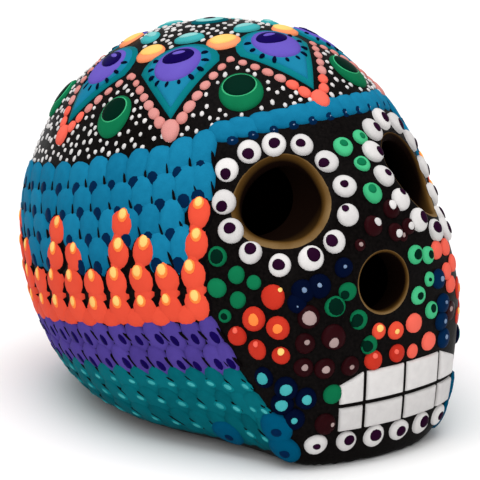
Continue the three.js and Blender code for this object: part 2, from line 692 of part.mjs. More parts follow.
// Rosette of drop-shaped petals with a green oval between every two of them
function crown() {
  const fold = (2 * Math.PI) / CROWN_FOLDS;
  const button = outlineOf(BEAD_SIDES, ovalOutline(ROSETTE, ROSETTE));
  addPiece('crown_button', drapedDome(button, crownPatch, ROSETTE_RISE, OVAL_RING_COUNT), TEAL_PAINT);
  const petalLength = CROWN_REACH - PETAL_MARGIN - PETAL_START;
  const petalReach = PETAL_START + petalLength / 2;
  const foldWidth = 2 * CROWN_RADIUS * Math.sin(petalReach / CROWN_RADIUS) * Math.sin(fold / 2);
  const petal = outlineOf(PETAL_SIDES, dropOutline(foldWidth - PETAL_SPACE, petalLength));
  const leaf = outlineOf(LEAF_SIDES, ovalOutline(LEAF_WIDTH, LEAF_LENGTH));
  const leafReach = CROWN_REACH - LEAF_MARGIN - LEAF_LENGTH / 2;
  for (let i = 0; i < CROWN_FOLDS; i += 1) {
    const petalSeat = (across, outward) => crownSeat(i * fold, petalReach, across, outward);
    addPiece(`crown_petal_${i + 1}`, drapedDome(petal, petalSeat, PETAL_RISE, PETAL_RING_COUNT), TEAL_PAINT);
    const leafSeat = (across, outward) => crownSeat((i + 0.5) * fold, leafReach, across, outward);
    addPiece(`crown_leaf_${i + 1}`, drapedDome(leaf, leafSeat, LEAF_RISE, OVAL_RING_COUNT), GREEN_PAINT);
  }
}

clayHalves();
seamCoil();
eyeBeads();
chinBeads();
teeth();
blueBand(BLUE_ROW_COUNT);
const plain = daubPlaces(DAUBS);
const flames = flamePlaces();
backBand('orange_flame_band', EDGES.violetTop, EDGES.orangeTop, flames, ORANGE_ROW_COUNT, ORANGE_PAINT);
backBand('violet_scale_band', EDGES.tealTop, EDGES.violetTop, plain, VIOLET_ROW_COUNT, VIOLET_PAINT);
backBand('teal_scale_band', EDGES.tealBottom, EDGES.tealTop, plain, TEAL_ROW_COUNT, TEAL_PAINT);
crown();

export default skull;
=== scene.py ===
"""Painted clay skull: a hollow head in two halves, dressed with raised paint beads, scales, flames and a rosette.

Lengths are millimetres until a mesh is made, +Z is up and the face looks towards -Y.
"""
import logging
import math
from dataclasses import dataclass, field
from enum import Enum
from typing import Sequence

import bpy
import numpy as np
from mathutils import Matrix, Vector


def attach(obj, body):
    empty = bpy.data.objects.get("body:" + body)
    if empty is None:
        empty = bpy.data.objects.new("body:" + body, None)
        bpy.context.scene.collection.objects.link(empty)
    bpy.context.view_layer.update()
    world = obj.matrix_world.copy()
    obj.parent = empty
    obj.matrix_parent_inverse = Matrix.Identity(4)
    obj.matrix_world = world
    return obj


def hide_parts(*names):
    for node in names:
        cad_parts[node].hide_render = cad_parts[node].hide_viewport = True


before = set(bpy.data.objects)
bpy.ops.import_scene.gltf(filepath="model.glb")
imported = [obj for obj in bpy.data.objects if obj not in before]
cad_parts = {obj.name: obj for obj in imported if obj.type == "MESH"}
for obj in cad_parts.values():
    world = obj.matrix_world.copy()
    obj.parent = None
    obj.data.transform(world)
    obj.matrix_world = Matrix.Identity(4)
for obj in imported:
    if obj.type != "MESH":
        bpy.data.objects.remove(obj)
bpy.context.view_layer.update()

MM = 0.001
SINK = 0.25
SHARP = math.radians(70)
SEED = 11
log = logging.getLogger("skull")
Array = np.ndarray


def unit(v: Array) -> Array:
    """Scales every row to length one."""
    return v / np.linalg.norm(v, axis=-1, keepdims=True)


@dataclass(frozen=True)
class Egg:
    """An egg: a centre and its reach to the side, front, back, up and down."""

    centre: tuple[float, float, float]
    side: float
    front: float
    back: float
    up: float
    down: float

    def share(self, p: Array, inset: float) -> Array:
        """Distance from the centre as a share of the egg's own reach in that direction.

        Args:
            p: Points, shape (..., 3).
            inset: Thickness that is taken off every reach.

        Returns:
            Below 1 inside the egg and above 1 outside, shape (...).
        """
        d = p - np.array(self.centre)
        along = np.where(d[..., 1] < 0, self.front, self.back) - inset
        upright = np.where(d[..., 2] > 0, self.up, self.down) - inset
        return np.sqrt((d[..., 0] / (self.side - inset)) ** 2 + (d[..., 1] / along) ** 2 + (d[..., 2] / upright) ** 2)


@dataclass(frozen=True)
class HeadForm:
    """The clay form: a cranium egg and a muzzle egg, blended, on a flat base."""

    core: tuple[float, float, float] = (0.0, -8.0, 45.8)
    cranium: Egg = Egg((0.0, -3.5, 38.3), 42.1, 44.5, 59.8, 50.5, 53.0)
    muzzle: Egg = Egg((0.0, -47.0, 28.3), 23.5, 9.0, 40.0, 27.0, 50.0)
    blend: float = 4.0
    base_blend: float = 10.0
    base_sink: float = 1.4
    wall: float = 6.0
    longest: float = 220.0
    halvings: int = 40
    step: float = 0.05

    def share(self, p: Array, inset: float = 0.0) -> Array:
        """Blended share of the form at each point.

        The two eggs join by a sum of inverse powers; the flat base joins by a sum of powers.

        Args:
            p: Points, shape (..., 3).
            inset: Wall that is taken off the form.

        Returns:
            1 on the skin, less inside, shape (...).
        """
        eggs = self.cranium.share(p, inset) ** -self.blend + self.muzzle.share(p, inset) ** -self.blend
        joined = eggs ** (-1 / self.blend)
        sunk = np.maximum(0.0, (self.core[2] - p[..., 2]) / (self.core[2] + self.base_sink - inset))
        return (joined ** self.base_blend + sunk ** self.base_blend) ** (1 / self.base_blend)

    def along(self, origin: Array, direction: Array, inset: float = 0.0) -> Array:
        """Points where rays from inside leave the form, found by halving, and held at the flat base.

        Args:
            origin: Start points, shape (..., 3).
            direction: Directions, shape (..., 3).
            inset: Wall that is taken off the form.

        Returns:
            Points on the skin, shape (..., 3).
        """
        origin, direction = np.broadcast_arrays(np.asarray(origin, float), direction)
        near = np.zeros(direction.shape[:-1])
        far = near + self.longest
        for _ in range(self.halvings):
            middle = (near + far) / 2
            inside = self.share(origin + direction * middle[..., None], inset) < 1
            near, far = np.where(inside, middle, near), np.where(inside, far, middle)
        fall = np.minimum(direction[..., 2], -1e-9)
        reach = np.where(direction[..., 2] < 0, np.minimum(near, (origin[..., 2] - inset) / -fall), near)
        return origin + direction * reach[..., None]

    def slope(self, p: Array) -> Array:
        """Gradient of the share by central differences, shape (..., 3)."""
        moves = self.step * np.eye(3)
        return np.stack([(self.share(p + s) - self.share(p - s)) / (2 * self.step) for s in moves], axis=-1)

    def normal(self, p: Array) -> Array:
        """Outward direction of the skin at each point."""
        return unit(self.slope(p))

    def settle(self, p: Array) -> Array:
        """Moves points near the skin onto it by three Newton steps along the slope."""
        for _ in range(3):
            g = self.slope(p)
            p = p - g * ((self.share(p) - 1) / (g ** 2).sum(-1))[..., None]
        return p

    def level(self, height: Array, fall: Array, azimuth: Array) -> Array:
        """Points of level lines, where planes that fall towards the back cut the skin.

        Args:
            height: Height of each plane on the upright axis.
            fall: Rise of each plane per unit of +Y.
            azimuth: Turn from the middle of the face towards +X, in radians.

        Returns:
            Points on the skin, shape (..., 3).
        """
        height, fall, azimuth = np.broadcast_arrays(height, fall, azimuth)
        ahead = -np.cos(azimuth)
        start = np.stack([0 * ahead, 0 * ahead + self.core[1], height + fall * self.core[1]], -1)
        return self.along(start, np.stack([np.sin(azimuth), ahead, fall * ahead], -1))


FORM = HeadForm()


class LevelLine:
    """One level line round the head, measured along its length."""

    def __init__(self, height: float, fall: float) -> None:
        """Tabulates lengths from the middle of the face to the back."""
        self.height, self.fall = height, fall
        self.turns = np.linspace(0, math.pi, 721)
        points = FORM.level(height, fall, self.turns)
        steps = np.linalg.norm(np.diff(points, axis=0), axis=1)
        self.lengths = np.concatenate([[0.0], np.cumsum(steps)])

    @property
    def half(self) -> float:
        """Length from the middle of the face to the middle of the back."""
        return float(self.lengths[-1])

    def distance(self, azimuth: float) -> float:
        """Length from the middle of the face to an azimuth."""
        return float(np.interp(azimuth, self.turns, self.lengths))

    def azimuth(self, distance: Array) -> Array:
        """Azimuth at a length towards +X; lengths past the back come round the other side."""
        d = np.asarray(distance, float)
        reach = np.interp(np.abs(d), self.lengths, self.turns)
        beyond = 2 * math.pi - np.interp(2 * self.half - d, self.lengths, self.turns)
        return np.where(d > self.half, beyond, np.sign(d) * reach)


@dataclass
class Seats:
    """Places on the skin with an upward direction along it."""

    point: Array
    up: Array
    normal: Array

    @staticmethod
    def at(points: Array, toward: Array = np.array([0.0, 0.0, 1.0])) -> "Seats":
        """Seats at points on the skin.

        Args:
            points: Points on the skin, shape (n, 3).
            toward: Direction that each seat's up leans to, shape (3,) or (n, 3).

        Returns:
            Seats whose up is that direction, laid flat on the skin.
        """
        n = FORM.normal(points)
        toward = np.broadcast_to(toward, points.shape)
        return Seats(points, unit(toward - (toward * n).sum(-1, keepdims=True) * n), n)

    @property
    def right(self) -> Array:
        """Direction to the right, seen from outside."""
        return np.cross(self.up, self.normal)

    def __len__(self) -> int:
        """Number of seats."""
        return len(self.point)

    def only(self, keep: Array) -> "Seats":
        """The seats that a mask or an index picks."""
        return Seats(self.point[keep], self.up[keep], self.normal[keep])

    def mirrored(self) -> "Seats":
        """The same places on the other side of the face."""
        flip = np.array([-1.0, 1.0, 1.0])
        return Seats(self.point * flip, self.up * flip, self.normal * flip)

    def beside(self, right: Array | float, up: Array | float) -> "Seats":
        """Seats a few steps away along the skin.

        Args:
            right: Steps to the right of each seat.
            up: Steps upwards from each seat.

        Returns:
            Seats with the same upward direction, laid flat again.
        """
        moved = self.point + self.right * np.reshape(right, (-1, 1)) + self.up * np.reshape(up, (-1, 1))
        return Seats.at(FORM.settle(moved), np.broadcast_to(self.up, moved.shape))

    @staticmethod
    def together(parts: Sequence["Seats"]) -> "Seats":
        """All the seats of several groups in one."""
        return Seats(*(np.concatenate([getattr(s, k) for s in parts]) for k in ("point", "up", "normal")))

    def turned(self, angle: Array | float) -> "Seats":
        """The same places with up turned to the right by an angle, one or one each."""
        c, s = (np.reshape(f(angle), (-1, 1)) for f in (np.cos, np.sin))
        return Seats(self.point, c * self.up + s * self.right, self.normal)

    def repeated(self, count: int) -> "Seats":
        """Every seat several times over."""
        return Seats(*(np.repeat(v, count, 0) for v in (self.point, self.up, self.normal)))


@dataclass
class Surface:
    """Points in millimetres, faces as index arrays, and marks, one number for each point."""

    points: Array
    faces: list[Array]
    marks: dict[str, Array] = field(default_factory=dict)

    @staticmethod
    def joined(parts: Sequence["Surface"]) -> "Surface":
        """One surface that holds several, in order."""
        starts = np.cumsum([0] + [len(p.points) for p in parts])
        faces = [f + s for p, s in zip(parts, starts) for f in p.faces]
        marks = {k: np.concatenate([p.marks[k] for p in parts]) for k in parts[0].marks}
        return Surface(np.concatenate([p.points for p in parts]), faces, marks)


class Bump(Enum):
    """Grain of a finish: how wide its marks are and how deep."""

    BRUSHED = (1500.0, 0.12)
    SMOOTH = (700.0, 0.05)


@dataclass(frozen=True)
class Paint:
    """Raised acrylic paint: a body colour, the deeper shade where it lies thin, and its gloss."""

    name: str
    colour: tuple[float, float, float]
    shade: tuple[float, float, float]
    slot: str = ""
    rough: float = 0.42
    gloss: float = 0.005
    bump: Bump = Bump.SMOOTH

    def material(self) -> bpy.types.Material:
        """Makes the paint once: shade and body mixed by each daub's tint, its thin rim and a brushed noise.

        Returns:
            The Blender material of this paint.
        """
        ready = bpy.data.materials.get(self.name)
        if ready:
            return ready
        nodes = Nodes(self.name)
        grain = nodes.noise(0.35 * self.bump.value[0], 3.0)
        thin = nodes.math("MULTIPLY", nodes.math("POWER", nodes.attribute("rim"), 5.0), 0.25)
        tint = nodes.math("MULTIPLY", nodes.attribute("tint"), 0.65)
        body = nodes.math("ADD", tint, nodes.math("MULTIPLY", grain, 0.4))
        amount = nodes.math("SUBTRACT", body, thin, clamp=True)
        nodes.into("Base Color", nodes.mix(amount, self.shade, self.colour))
        nodes.into("Roughness", nodes.spread(grain, self.rough - 0.06, self.rough + 0.1))
        nodes.set("Specular IOR Level", self.gloss)
        nodes.bump(*self.bump.value)
        return nodes.material


class Nodes:
    """A material's node tree round one Principled shader."""

    def __init__(self, name: str) -> None:
        """Starts an empty tree with the shader wired to the output."""
        self.material = bpy.data.materials.new(name)
        self.material.use_nodes = True
        self.tree = self.material.node_tree
        self.tree.nodes.clear()
        self.shader = self.tree.nodes.new("ShaderNodeBsdfPrincipled")
        output = self.tree.nodes.new("ShaderNodeOutputMaterial")
        self.tree.links.new(self.shader.outputs[0], output.inputs["Surface"])
        self.coords = self.tree.nodes.new("ShaderNodeTexCoord").outputs["Object"]

    def set(self, socket: str, value: float) -> None:
        """Sets a constant on the shader's own socket."""
        self.shader.inputs[socket].default_value = value

    def into(self, socket: str, source: bpy.types.NodeSocket) -> None:
        """Links a value to one of the shader's sockets."""
        self.tree.links.new(source, self.shader.inputs[socket])

    def attribute(self, name: str) -> bpy.types.NodeSocket:
        """Reads a point mark of the mesh."""
        node = self.tree.nodes.new("ShaderNodeAttribute")
        node.attribute_name = name
        return node.outputs["Fac"]

    def noise(self, scale: float, detail: float = 2.0) -> bpy.types.NodeSocket:
        """Noise on object coordinates, in metres."""
        node = self.tree.nodes.new("ShaderNodeTexNoise")
        node.inputs["Scale"].default_value = scale
        node.inputs["Detail"].default_value = detail
        self.tree.links.new(self.coords, node.inputs["Vector"])
        return node.outputs["Fac"]

    def math(self, kind: str, a: bpy.types.NodeSocket, b: bpy.types.NodeSocket | float,
             clamp: bool = False) -> bpy.types.NodeSocket:
        """One step of arithmetic.

        Args:
            kind: Blender's name of the operation.
            a: First value.
            b: Second value, a socket or a number.
            clamp: Holds the result between 0 and 1.

        Returns:
            The result's socket.
        """
        node = self.tree.nodes.new("ShaderNodeMath")
        node.operation, node.use_clamp = kind, clamp
        self.tree.links.new(a, node.inputs[0])
        if isinstance(b, float):
            node.inputs[1].default_value = b
        else:
            self.tree.links.new(b, node.inputs[1])
        return node.outputs[0]

    def spread(self, value: bpy.types.NodeSocket, low: float, high: float) -> bpy.types.NodeSocket:
        """Spreads a noise's middle range over low to high."""
        node = self.tree.nodes.new("ShaderNodeMapRange")
        for name, number in (("From Min", 0.3), ("From Max", 0.7), ("To Min", low), ("To Max", high)):
            node.inputs[name].default_value = number
        self.tree.links.new(value, node.inputs["Value"])
        return node.outputs["Result"]

    def mix(self, amount: bpy.types.NodeSocket, low: Sequence[float] | bpy.types.NodeSocket,
            high: Sequence[float] | bpy.types.NodeSocket) -> bpy.types.NodeSocket:
        """Mixes two colours, each a value or a socket, by an amount."""
        node = self.tree.nodes.new("ShaderNodeMix")
        node.data_type = "RGBA"
        self.tree.links.new(amount, node.inputs[0])
        for place, colour in ((6, low), (7, high)):
            if isinstance(colour, bpy.types.NodeSocket):
                self.tree.links.new(colour, node.inputs[place])
            else:
                node.inputs[place].default_value = (*colour, 1.0)
        return node.outputs[2]

    def bump(self, scale: float, depth: float) -> None:
        """Fine relief from noise, depth in millimetres."""
        node = self.tree.nodes.new("ShaderNodeBump")
        node.inputs["Strength"].default_value = 0.6
        node.inputs["Distance"].default_value = depth * MM
        self.tree.links.new(self.noise(scale, 4.0), node.inputs["Height"])
        self.tree.links.new(node.outputs[0], self.shader.inputs["Normal"])


class Palette(Enum):
    """The paints of the skull."""

    WHITE = Paint("white_acrylic", (0.74, 0.715, 0.70), (0.40, 0.385, 0.385), "white_paint", 0.42, 0.03, Bump.BRUSHED)
    PLUM = Paint("plum_acrylic", (0.020, 0.003, 0.018), (0.009, 0.001, 0.008), rough=0.35)
    BLUE = Paint("blue_acrylic", (0.010, 0.21, 0.37), (0.0, 0.070, 0.15), "blue_paint", 0.5, bump=Bump.BRUSHED)
    JAW_BLUE = Paint("jaw_blue_acrylic", (0.0, 0.085, 0.17), (0.0, 0.035, 0.08), "blue_paint", 0.5, bump=Bump.BRUSHED)
    DEEP_BLUE = Paint("deep_blue_acrylic", (0.001, 0.018, 0.065), (0.001, 0.008, 0.030), rough=0.4)
    NAVY = Paint("navy_acrylic", (0.001, 0.004, 0.021), (0.0007, 0.0015, 0.009), rough=0.35)
    # the colour of painted highlights: specks on navy and deep blue dots, and on the headband's dots
    PALE_BLUE = Paint("pale_blue_acrylic", (0.22, 0.31, 0.44), (0.08, 0.13, 0.25))
    ORANGE = Paint("orange_acrylic", (0.80, 0.088, 0.046), (0.54, 0.040, 0.020), "orange_paint")
    SALMON = Paint("salmon_acrylic", (0.88, 0.155, 0.11), (0.68, 0.080, 0.048), "orange_paint")
    YELLOW = Paint("yellow_acrylic", (0.92, 0.64, 0.20), (0.85, 0.36, 0.075))
    PEACH = Paint("peach_acrylic", (0.88, 0.34, 0.16), (0.80, 0.20, 0.08))
    AMBER = Paint("amber_acrylic", (0.98, 0.27, 0.055), (0.90, 0.14, 0.035))
    VIOLET = Paint("violet_acrylic", (0.085, 0.055, 0.30), (0.036, 0.021, 0.14), "violet_paint", 0.5, bump=Bump.BRUSHED)
    LILAC = Paint("lilac_acrylic", (0.15, 0.105, 0.50), (0.085, 0.05, 0.33), "violet_paint")
    INDIGO = Paint("indigo_acrylic", (0.007, 0.002, 0.075), (0.003, 0.001, 0.037), rough=0.3)
    TEAL = Paint("teal_acrylic", (0.003, 0.150, 0.180), (0.0, 0.052, 0.068), "teal_paint", 0.5, bump=Bump.BRUSHED)
    BRIGHT_TEAL = Paint("bright_teal_acrylic", (0.004, 0.19, 0.215), (0.0, 0.10, 0.125), "teal_paint")
    LIGHT_TEAL = Paint("light_teal_acrylic", (0.07, 0.42, 0.43), (0.014, 0.24, 0.26), "teal_paint")
    AQUA = Paint("aqua_acrylic", (0.30, 0.60, 0.58), (0.08, 0.36, 0.37), "teal_paint")
    CYAN = Paint("cyan_acrylic", (0.015, 0.22, 0.36), (0.003, 0.13, 0.23), "blue_paint")
    GREEN = Paint("green_acrylic", (0.006, 0.18, 0.072), (0.002, 0.085, 0.033), "green_paint", 0.36)
    DARK_GREEN = Paint("dark_green_acrylic", (0.001, 0.019, 0.011), (0.0005, 0.009, 0.005), rough=0.3)
    MINT = Paint("mint_acrylic", (0.07, 0.50, 0.23), (0.02, 0.28, 0.11), rough=0.36)
    RED = Paint("red_acrylic", (0.60, 0.040, 0.020), (0.36, 0.014, 0.008), rough=0.34, gloss=0.02)
    CORAL = Paint("coral_acrylic", (0.62, 0.285, 0.265), (0.54, 0.15, 0.12))
    MAROON = Paint("maroon_acrylic", (0.024, 0.003, 0.0045), (0.009, 0.001, 0.0017), rough=0.32, gloss=0.02)
    # pale dabs on maroon dots: partly a second paint, partly painted highlights
    PINK = Paint("pink_acrylic", (0.44, 0.33, 0.315), (0.20, 0.12, 0.12))
    INK = Paint("ink_acrylic", (0.004, 0.003, 0.0035), (0.002, 0.0015, 0.002), "black_ground")


@dataclass(frozen=True)
class Clay:
    """Fired clay: black lacquer on the skin, bare tan clay on the lips, then painted shade: brown further into the
    bores, near black deepest in and inside the hollow.
    """

    lacquer: tuple[float, float, float] = (0.0016, 0.0012, 0.0012)
    lacquer_worn: tuple[float, float, float] = (0.0050, 0.0038, 0.0036)
    bare: tuple[float, float, float] = (0.24, 0.155, 0.070)
    bare_dark: tuple[float, float, float] = (0.13, 0.072, 0.024)
    shaded_brown: tuple[float, float, float] = (0.088, 0.042, 0.008)
    painted_shade: tuple[float, float, float] = (0.0045, 0.0016, 0.0007)

    def material(self) -> bpy.types.Material:
        """Makes the clay once, with the lacquer's ragged edge drawn by noise and the painted shade by its own mark.

        Returns:
            The Blender material of the clay.
        """
        ready = bpy.data.materials.get("clay")
        if ready:
            return ready
        nodes = Nodes("clay")
        mottle = nodes.noise(160.0, 5.0)
        fine = nodes.noise(1400.0, 3.0)
        ragged = nodes.math("ADD", nodes.attribute("bare"), nodes.math("MULTIPLY", nodes.noise(700.0), 0.5))
        bare = nodes.math("GREATER_THAN", ragged, 0.75)
        clay = nodes.mix(nodes.spread(mottle, 0.0, 1.0), self.bare_dark, self.bare)
        # painted shade: the bare clay darkens to brown and then near black by its mark, deeper in the bores, towards
        # one side of each lip and inside the hollow
        depth = nodes.attribute("painted_shade")
        clay = nodes.mix(nodes.math("MULTIPLY", depth, 2.5, clamp=True), clay, self.shaded_brown)
        clay = nodes.mix(nodes.spread(depth, 0.0, 1.0), clay, self.painted_shade)
        black = nodes.mix(nodes.spread(fine, 0.0, 1.0), self.lacquer, self.lacquer_worn)
        nodes.into("Base Color", nodes.mix(bare, black, clay))
        gloss = nodes.spread(mottle, 0.34, 0.48)
        nodes.into("Roughness", nodes.math("ADD", gloss, nodes.math("MULTIPLY", bare, 0.4)))
        nodes.set("Specular IOR Level", 0.02)
        nodes.bump(1800.0, 0.10)
        return nodes.material


def add_piece(name: str, surface: Surface, material: bpy.types.Material,
              nodes: Sequence[str] = ()) -> None:
    """Puts a surface into a mesh object that rides on the skull.

    Args:
        name: Piece name.
        surface: Points in millimetres, faces and marks.
        material: Finish of the whole piece.
        nodes: Solids that this piece stands for.
    """
    mesh = bpy.data.meshes.new(name)
    corners = np.concatenate([f.reshape(-1) for f in surface.faces])
    totals = np.concatenate([np.full(len(f), f.shape[1]) for f in surface.faces])
    mesh.vertices.add(len(surface.points))
    mesh.vertices.foreach_set("co", (surface.points * MM).astype(np.float32).reshape(-1))
    mesh.loops.add(len(corners))
    mesh.loops.foreach_set("vertex_index", corners.astype(np.int32))
    mesh.polygons.add(len(totals))
    mesh.polygons.foreach_set("loop_start", (np.cumsum(totals) - totals).astype(np.int32))
    mesh.polygons.foreach_set("loop_total", totals.astype(np.int32))
    mesh.update(calc_edges=True)
    mesh.validate()
    for mark, values in surface.marks.items():
        layer = mesh.attributes.new(mark, "FLOAT", "POINT")
        layer.data.foreach_set("value", values.astype(np.float32))
    mesh.shade_smooth()
    mesh.set_sharp_from_angle(angle=SHARP)
    mesh.materials.append(material)
    piece = bpy.data.objects.new(name, mesh)
    bpy.context.scene.collection.objects.link(piece)
    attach(piece, "root")
    if nodes:
        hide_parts(*nodes)
    log.info("%s: %d points", name, len(surface.points))


def add_paint(name: str, surface: Surface, paint: Palette, nodes: Sequence[str] = ()) -> None:
    """Adds a piece of one paint of the palette."""
    add_piece(name, surface, paint.value.material(), nodes)


@dataclass
class Carrier:
    """A dome that another dab of paint sits on: its size, height, lift and lean."""

    width: Array | float
    height: Array | float
    rise: Array | float
    lift: Array | float = 0.0
    lean: Array | float = 0.0

    def top(self, x: Array, y: Array) -> Array:
        """Height of the dome over the skin at places measured from its middle, shape (n, m)."""
        sizes = (self.width, self.height, self.rise, self.lift, self.lean)
        w, h, rise, lift, lean = (np.reshape(v, (-1, 1)) for v in sizes)
        s = (2 * x / w) ** 2 + (2 * y / h) ** 2
        return rise * np.clip(1 - s, 0, 1) ** 0.35 + lift + lean * (0.5 + y / h)


RNG = np.random.default_rng(SEED)
WAIST_RNG = np.random.default_rng(12)


def domes(seats: Seats, width: Array | float, height: Array | float, rise: Array | float, *, spokes: int = 10,
          rings: int = 3, shift: tuple[Array | float, Array | float] = (0.0, 0.0), lift: Array | float = 0.0,
          lean: Array | float = 0.0, carrier: Carrier | None = None, outline: Array | None = None,
          wobble: float = 0.04, tint: tuple[float, float] = (0.5, 1.0), painted_highlight: float = 0.0,
          rng: np.random.Generator = RNG) -> Surface:
    """Closed drops of paint on the skin, one for each seat, as one grid of rings and spokes.

    A drop's section is a squashed quarter turn: reach sin(t) and height cos(t) to the power 0.7. Its outline is an
    oval, or the outline given, with a slight wobble, and every point is settled on the skin before it is raised.

    Args:
        seats: Where the drops sit.
        width: Size across, one or one each.
        height: Size along each seat's up.
        rise: Height of the crest.
        spokes: Points round a ring.
        rings: Rings from crest to rim.
        shift: Steps from the seat to the drop's middle, right and up.
        lift: Height of the rim over the skin.
        lean: Extra lift of the upper end.
        carrier: Dome that the drops sit on.
        outline: Outline in half sizes, shape (spokes, 2), anticlockwise from outside.
        wobble: How uneven the outline is.
        tint: Range of the tints, from shade to body colour.
        painted_highlight: How much lighter the upper end is than the middle.
        rng: Source of the random draws.

    Returns:
        The surface, with a tint for each drop and the rim's share of the reach.
    """
    n = len(seats)
    width, height, rise, lift, lean = (np.broadcast_to(np.asarray(v, float), (n,))[:, None]
                                       for v in (width, height, rise, lift, lean))
    turn = 2 * math.pi * np.arange(spokes) / spokes
    edge = np.stack([np.cos(turn), np.sin(turn)], -1) if outline is None else outline
    phase = rng.uniform(0, 2 * math.pi, (2, n, 1))
    uneven = 1 + wobble * (np.cos(2 * turn + phase[0]) + 0.6 * np.cos(3 * turn + phase[1]))
    t = 0.5 * math.pi * np.arange(1, rings + 1) / rings
    ends = np.zeros((n, 1))
    reach = np.sin(t)[None, :, None] * uneven[:, None, :]
    x = np.concatenate([ends, (reach * edge[:, 0]).reshape(n, -1), ends], 1) * width / 2
    y = np.concatenate([ends, (reach * edge[:, 1]).reshape(n, -1), ends], 1) * height / 2
    crest = np.repeat(np.maximum(np.cos(t), 0) ** 0.7, spokes)
    # painted highlight: the tint rises towards each drop's upper end, by the amount given for it
    tints = rng.uniform(*tint, (n, 1)) + 2 * painted_highlight * y / height
    z = np.concatenate([[1.0], crest, [0.0]]) * rise + lift + lean * (0.5 + y / height)
    x = x + np.reshape(shift[0], (-1, 1))
    y = y + np.reshape(shift[1], (-1, 1))
    if carrier:
        z = z + carrier.top(x, y)
    z[:, -spokes - 1:] -= SINK
    points = seats.point[:, None] + seats.right[:, None] * x[..., None] + seats.up[:, None] * y[..., None]
    points = FORM.settle(points)
    points = points + FORM.normal(points) * z[..., None]
    k = np.arange(spokes)
    after = (k + 1) % spokes
    top = np.stack([0 * k, 1 + k, 1 + after], -1)
    inner = (1 + spokes * np.arange(rings - 1))[:, None]
    wall = np.stack([inner + k, inner + spokes + k, inner + spokes + after, inner + after], -1).reshape(-1, 4)
    low = 1 + spokes * (rings - 1)
    floor = np.stack([0 * k + low + spokes, low + after, low + k], -1)
    start = (np.arange(n) * points.shape[1])[:, None, None]
    faces = [(f[None] + start).reshape(-1, f.shape[1]) for f in (np.concatenate([top, floor]), wall)]
    rim = np.concatenate([[0.0], np.repeat(np.sin(t), spokes), [1.0]])
    marks = {"tint": tints.reshape(-1), "rim": np.tile(rim, n)}
    return Surface(points.reshape(-1, 3), faces, marks)


@dataclass
class Bore:
    """A hole that looks ahead and a little up: a round mouth flat on the skin, and its worn lip of bare clay."""

    seat: Seats
    radius: float
    lip: float
    drop: float
    # painted shade on the lip: its amount, the turn where it is darkest, and how much darker it grows deeper into the
    # bore
    painted_shade: float = 0.3
    darkest: float = 0.5 * math.pi
    inner_painted_shade: float = 0.56
    outside: float = 12.0
    rise: float = math.radians(10.0)

    def axes(self) -> tuple[Array, Array, Array, Array]:
        """Middle, right and up of the mouth, and the way out along the bore for one step off the mouth."""
        ahead = np.array([0.0, -math.cos(self.rise), math.sin(self.rise)])
        return self.seat.point[0], self.seat.right[0], self.seat.up[0], ahead / (ahead @ self.seat.normal[0])

    def polar(self, p: Array) -> tuple[Array, Array]:
        """Distance and angle of points about the mouth's middle, after a slide along the bore to the mouth."""
        middle, right, up, out = self.axes()
        flat = p - middle - ((p - middle) @ self.seat.normal[0])[:, None] * out
        a, b = flat @ right, flat @ up
        return np.hypot(a, b), np.arctan2(b, a)

    def lip_loops(self, sides: int, steps: int) -> tuple[Array, Array]:
        """Loops of points from the rim, round a quarter turn, into the bore, and the painted shade on them.

        Args:
            sides: Points round a loop.
            steps: Loops in the quarter turn.

        Returns:
            Points, shape (steps, sides, 3), and painted shade, darkest towards one side and growing deeper in, shape
            (steps, sides).
        """
        middle, right, up, out = self.axes()
        turn = np.linspace(-math.pi, math.pi, sides, endpoint=False) + math.pi / sides
        across = np.cos(turn)[:, None] * right + np.sin(turn)[:, None] * up
        rim = self.radius + self.lip
        skin = FORM.along(middle - self.outside * out + rim * across, out)
        s = np.linspace(0, 0.5 * math.pi, steps + 1)[1:, None]
        inward, down = self.lip * np.sin(s), self.drop * (1 - np.cos(s))
        loops = skin - inward[..., None] * across - down[..., None] * self.seat.normal[0]
        # painted shade: darker towards one side of the lip and deeper into the bore
        return loops, self.painted_shade * (0.5 + 0.5 * np.cos(turn - self.darkest)) + self.inner_painted_shade * np.sin(s) ** 2


def clipped(points: Array, faces: Array, keep: Array) -> tuple[Array, Array, Array]:
    """Cuts triangles along the zero line of a value given at every point.

    A triangle with one corner out keeps a four-sided part and one with two corners out keeps a triangle; the new
    corners lie on the cut edges where the value is zero.

    Args:
        points: Points, shape (n, 3).
        faces: Triangles, shape (m, 3).
        keep: Value at each point, positive where the surface stays.

    Returns:
        All points, the triangles that stay, and the indices of the new points on the cut.
    """
    inside = keep[faces] > 0
    count = inside.sum(1)
    odd = np.where(count == 2, np.argmin(inside, 1), np.argmax(inside, 1))
    turned = np.take_along_axis(faces, (odd[:, None] + np.arange(3)) % 3, 1)
    cut = (count == 1) | (count == 2)
    edges = np.concatenate([turned[cut][:, [0, 1]], turned[cut][:, [0, 2]]])
    pairs, place = np.unique(np.sort(edges, 1), axis=0, return_inverse=True)
    share = keep[pairs[:, 0]] / (keep[pairs[:, 0]] - keep[pairs[:, 1]])
    added = points[pairs[:, 0]] * (1 - share[:, None]) + points[pairs[:, 1]] * share[:, None]
    first, second = np.split(len(points) + place.reshape(-1), 2)
    one = count[cut] == 1
    a, b, c = turned[cut].T
    small = np.stack([a, first, second], 1)[one]
    wide = np.concatenate([np.stack([first, b, c], 1)[~one], np.stack([first, c, second], 1)[~one]])
    new = len(points) + np.arange(len(added))
    return np.concatenate([points, added]), np.concatenate([faces[count == 3], small, wide]), new


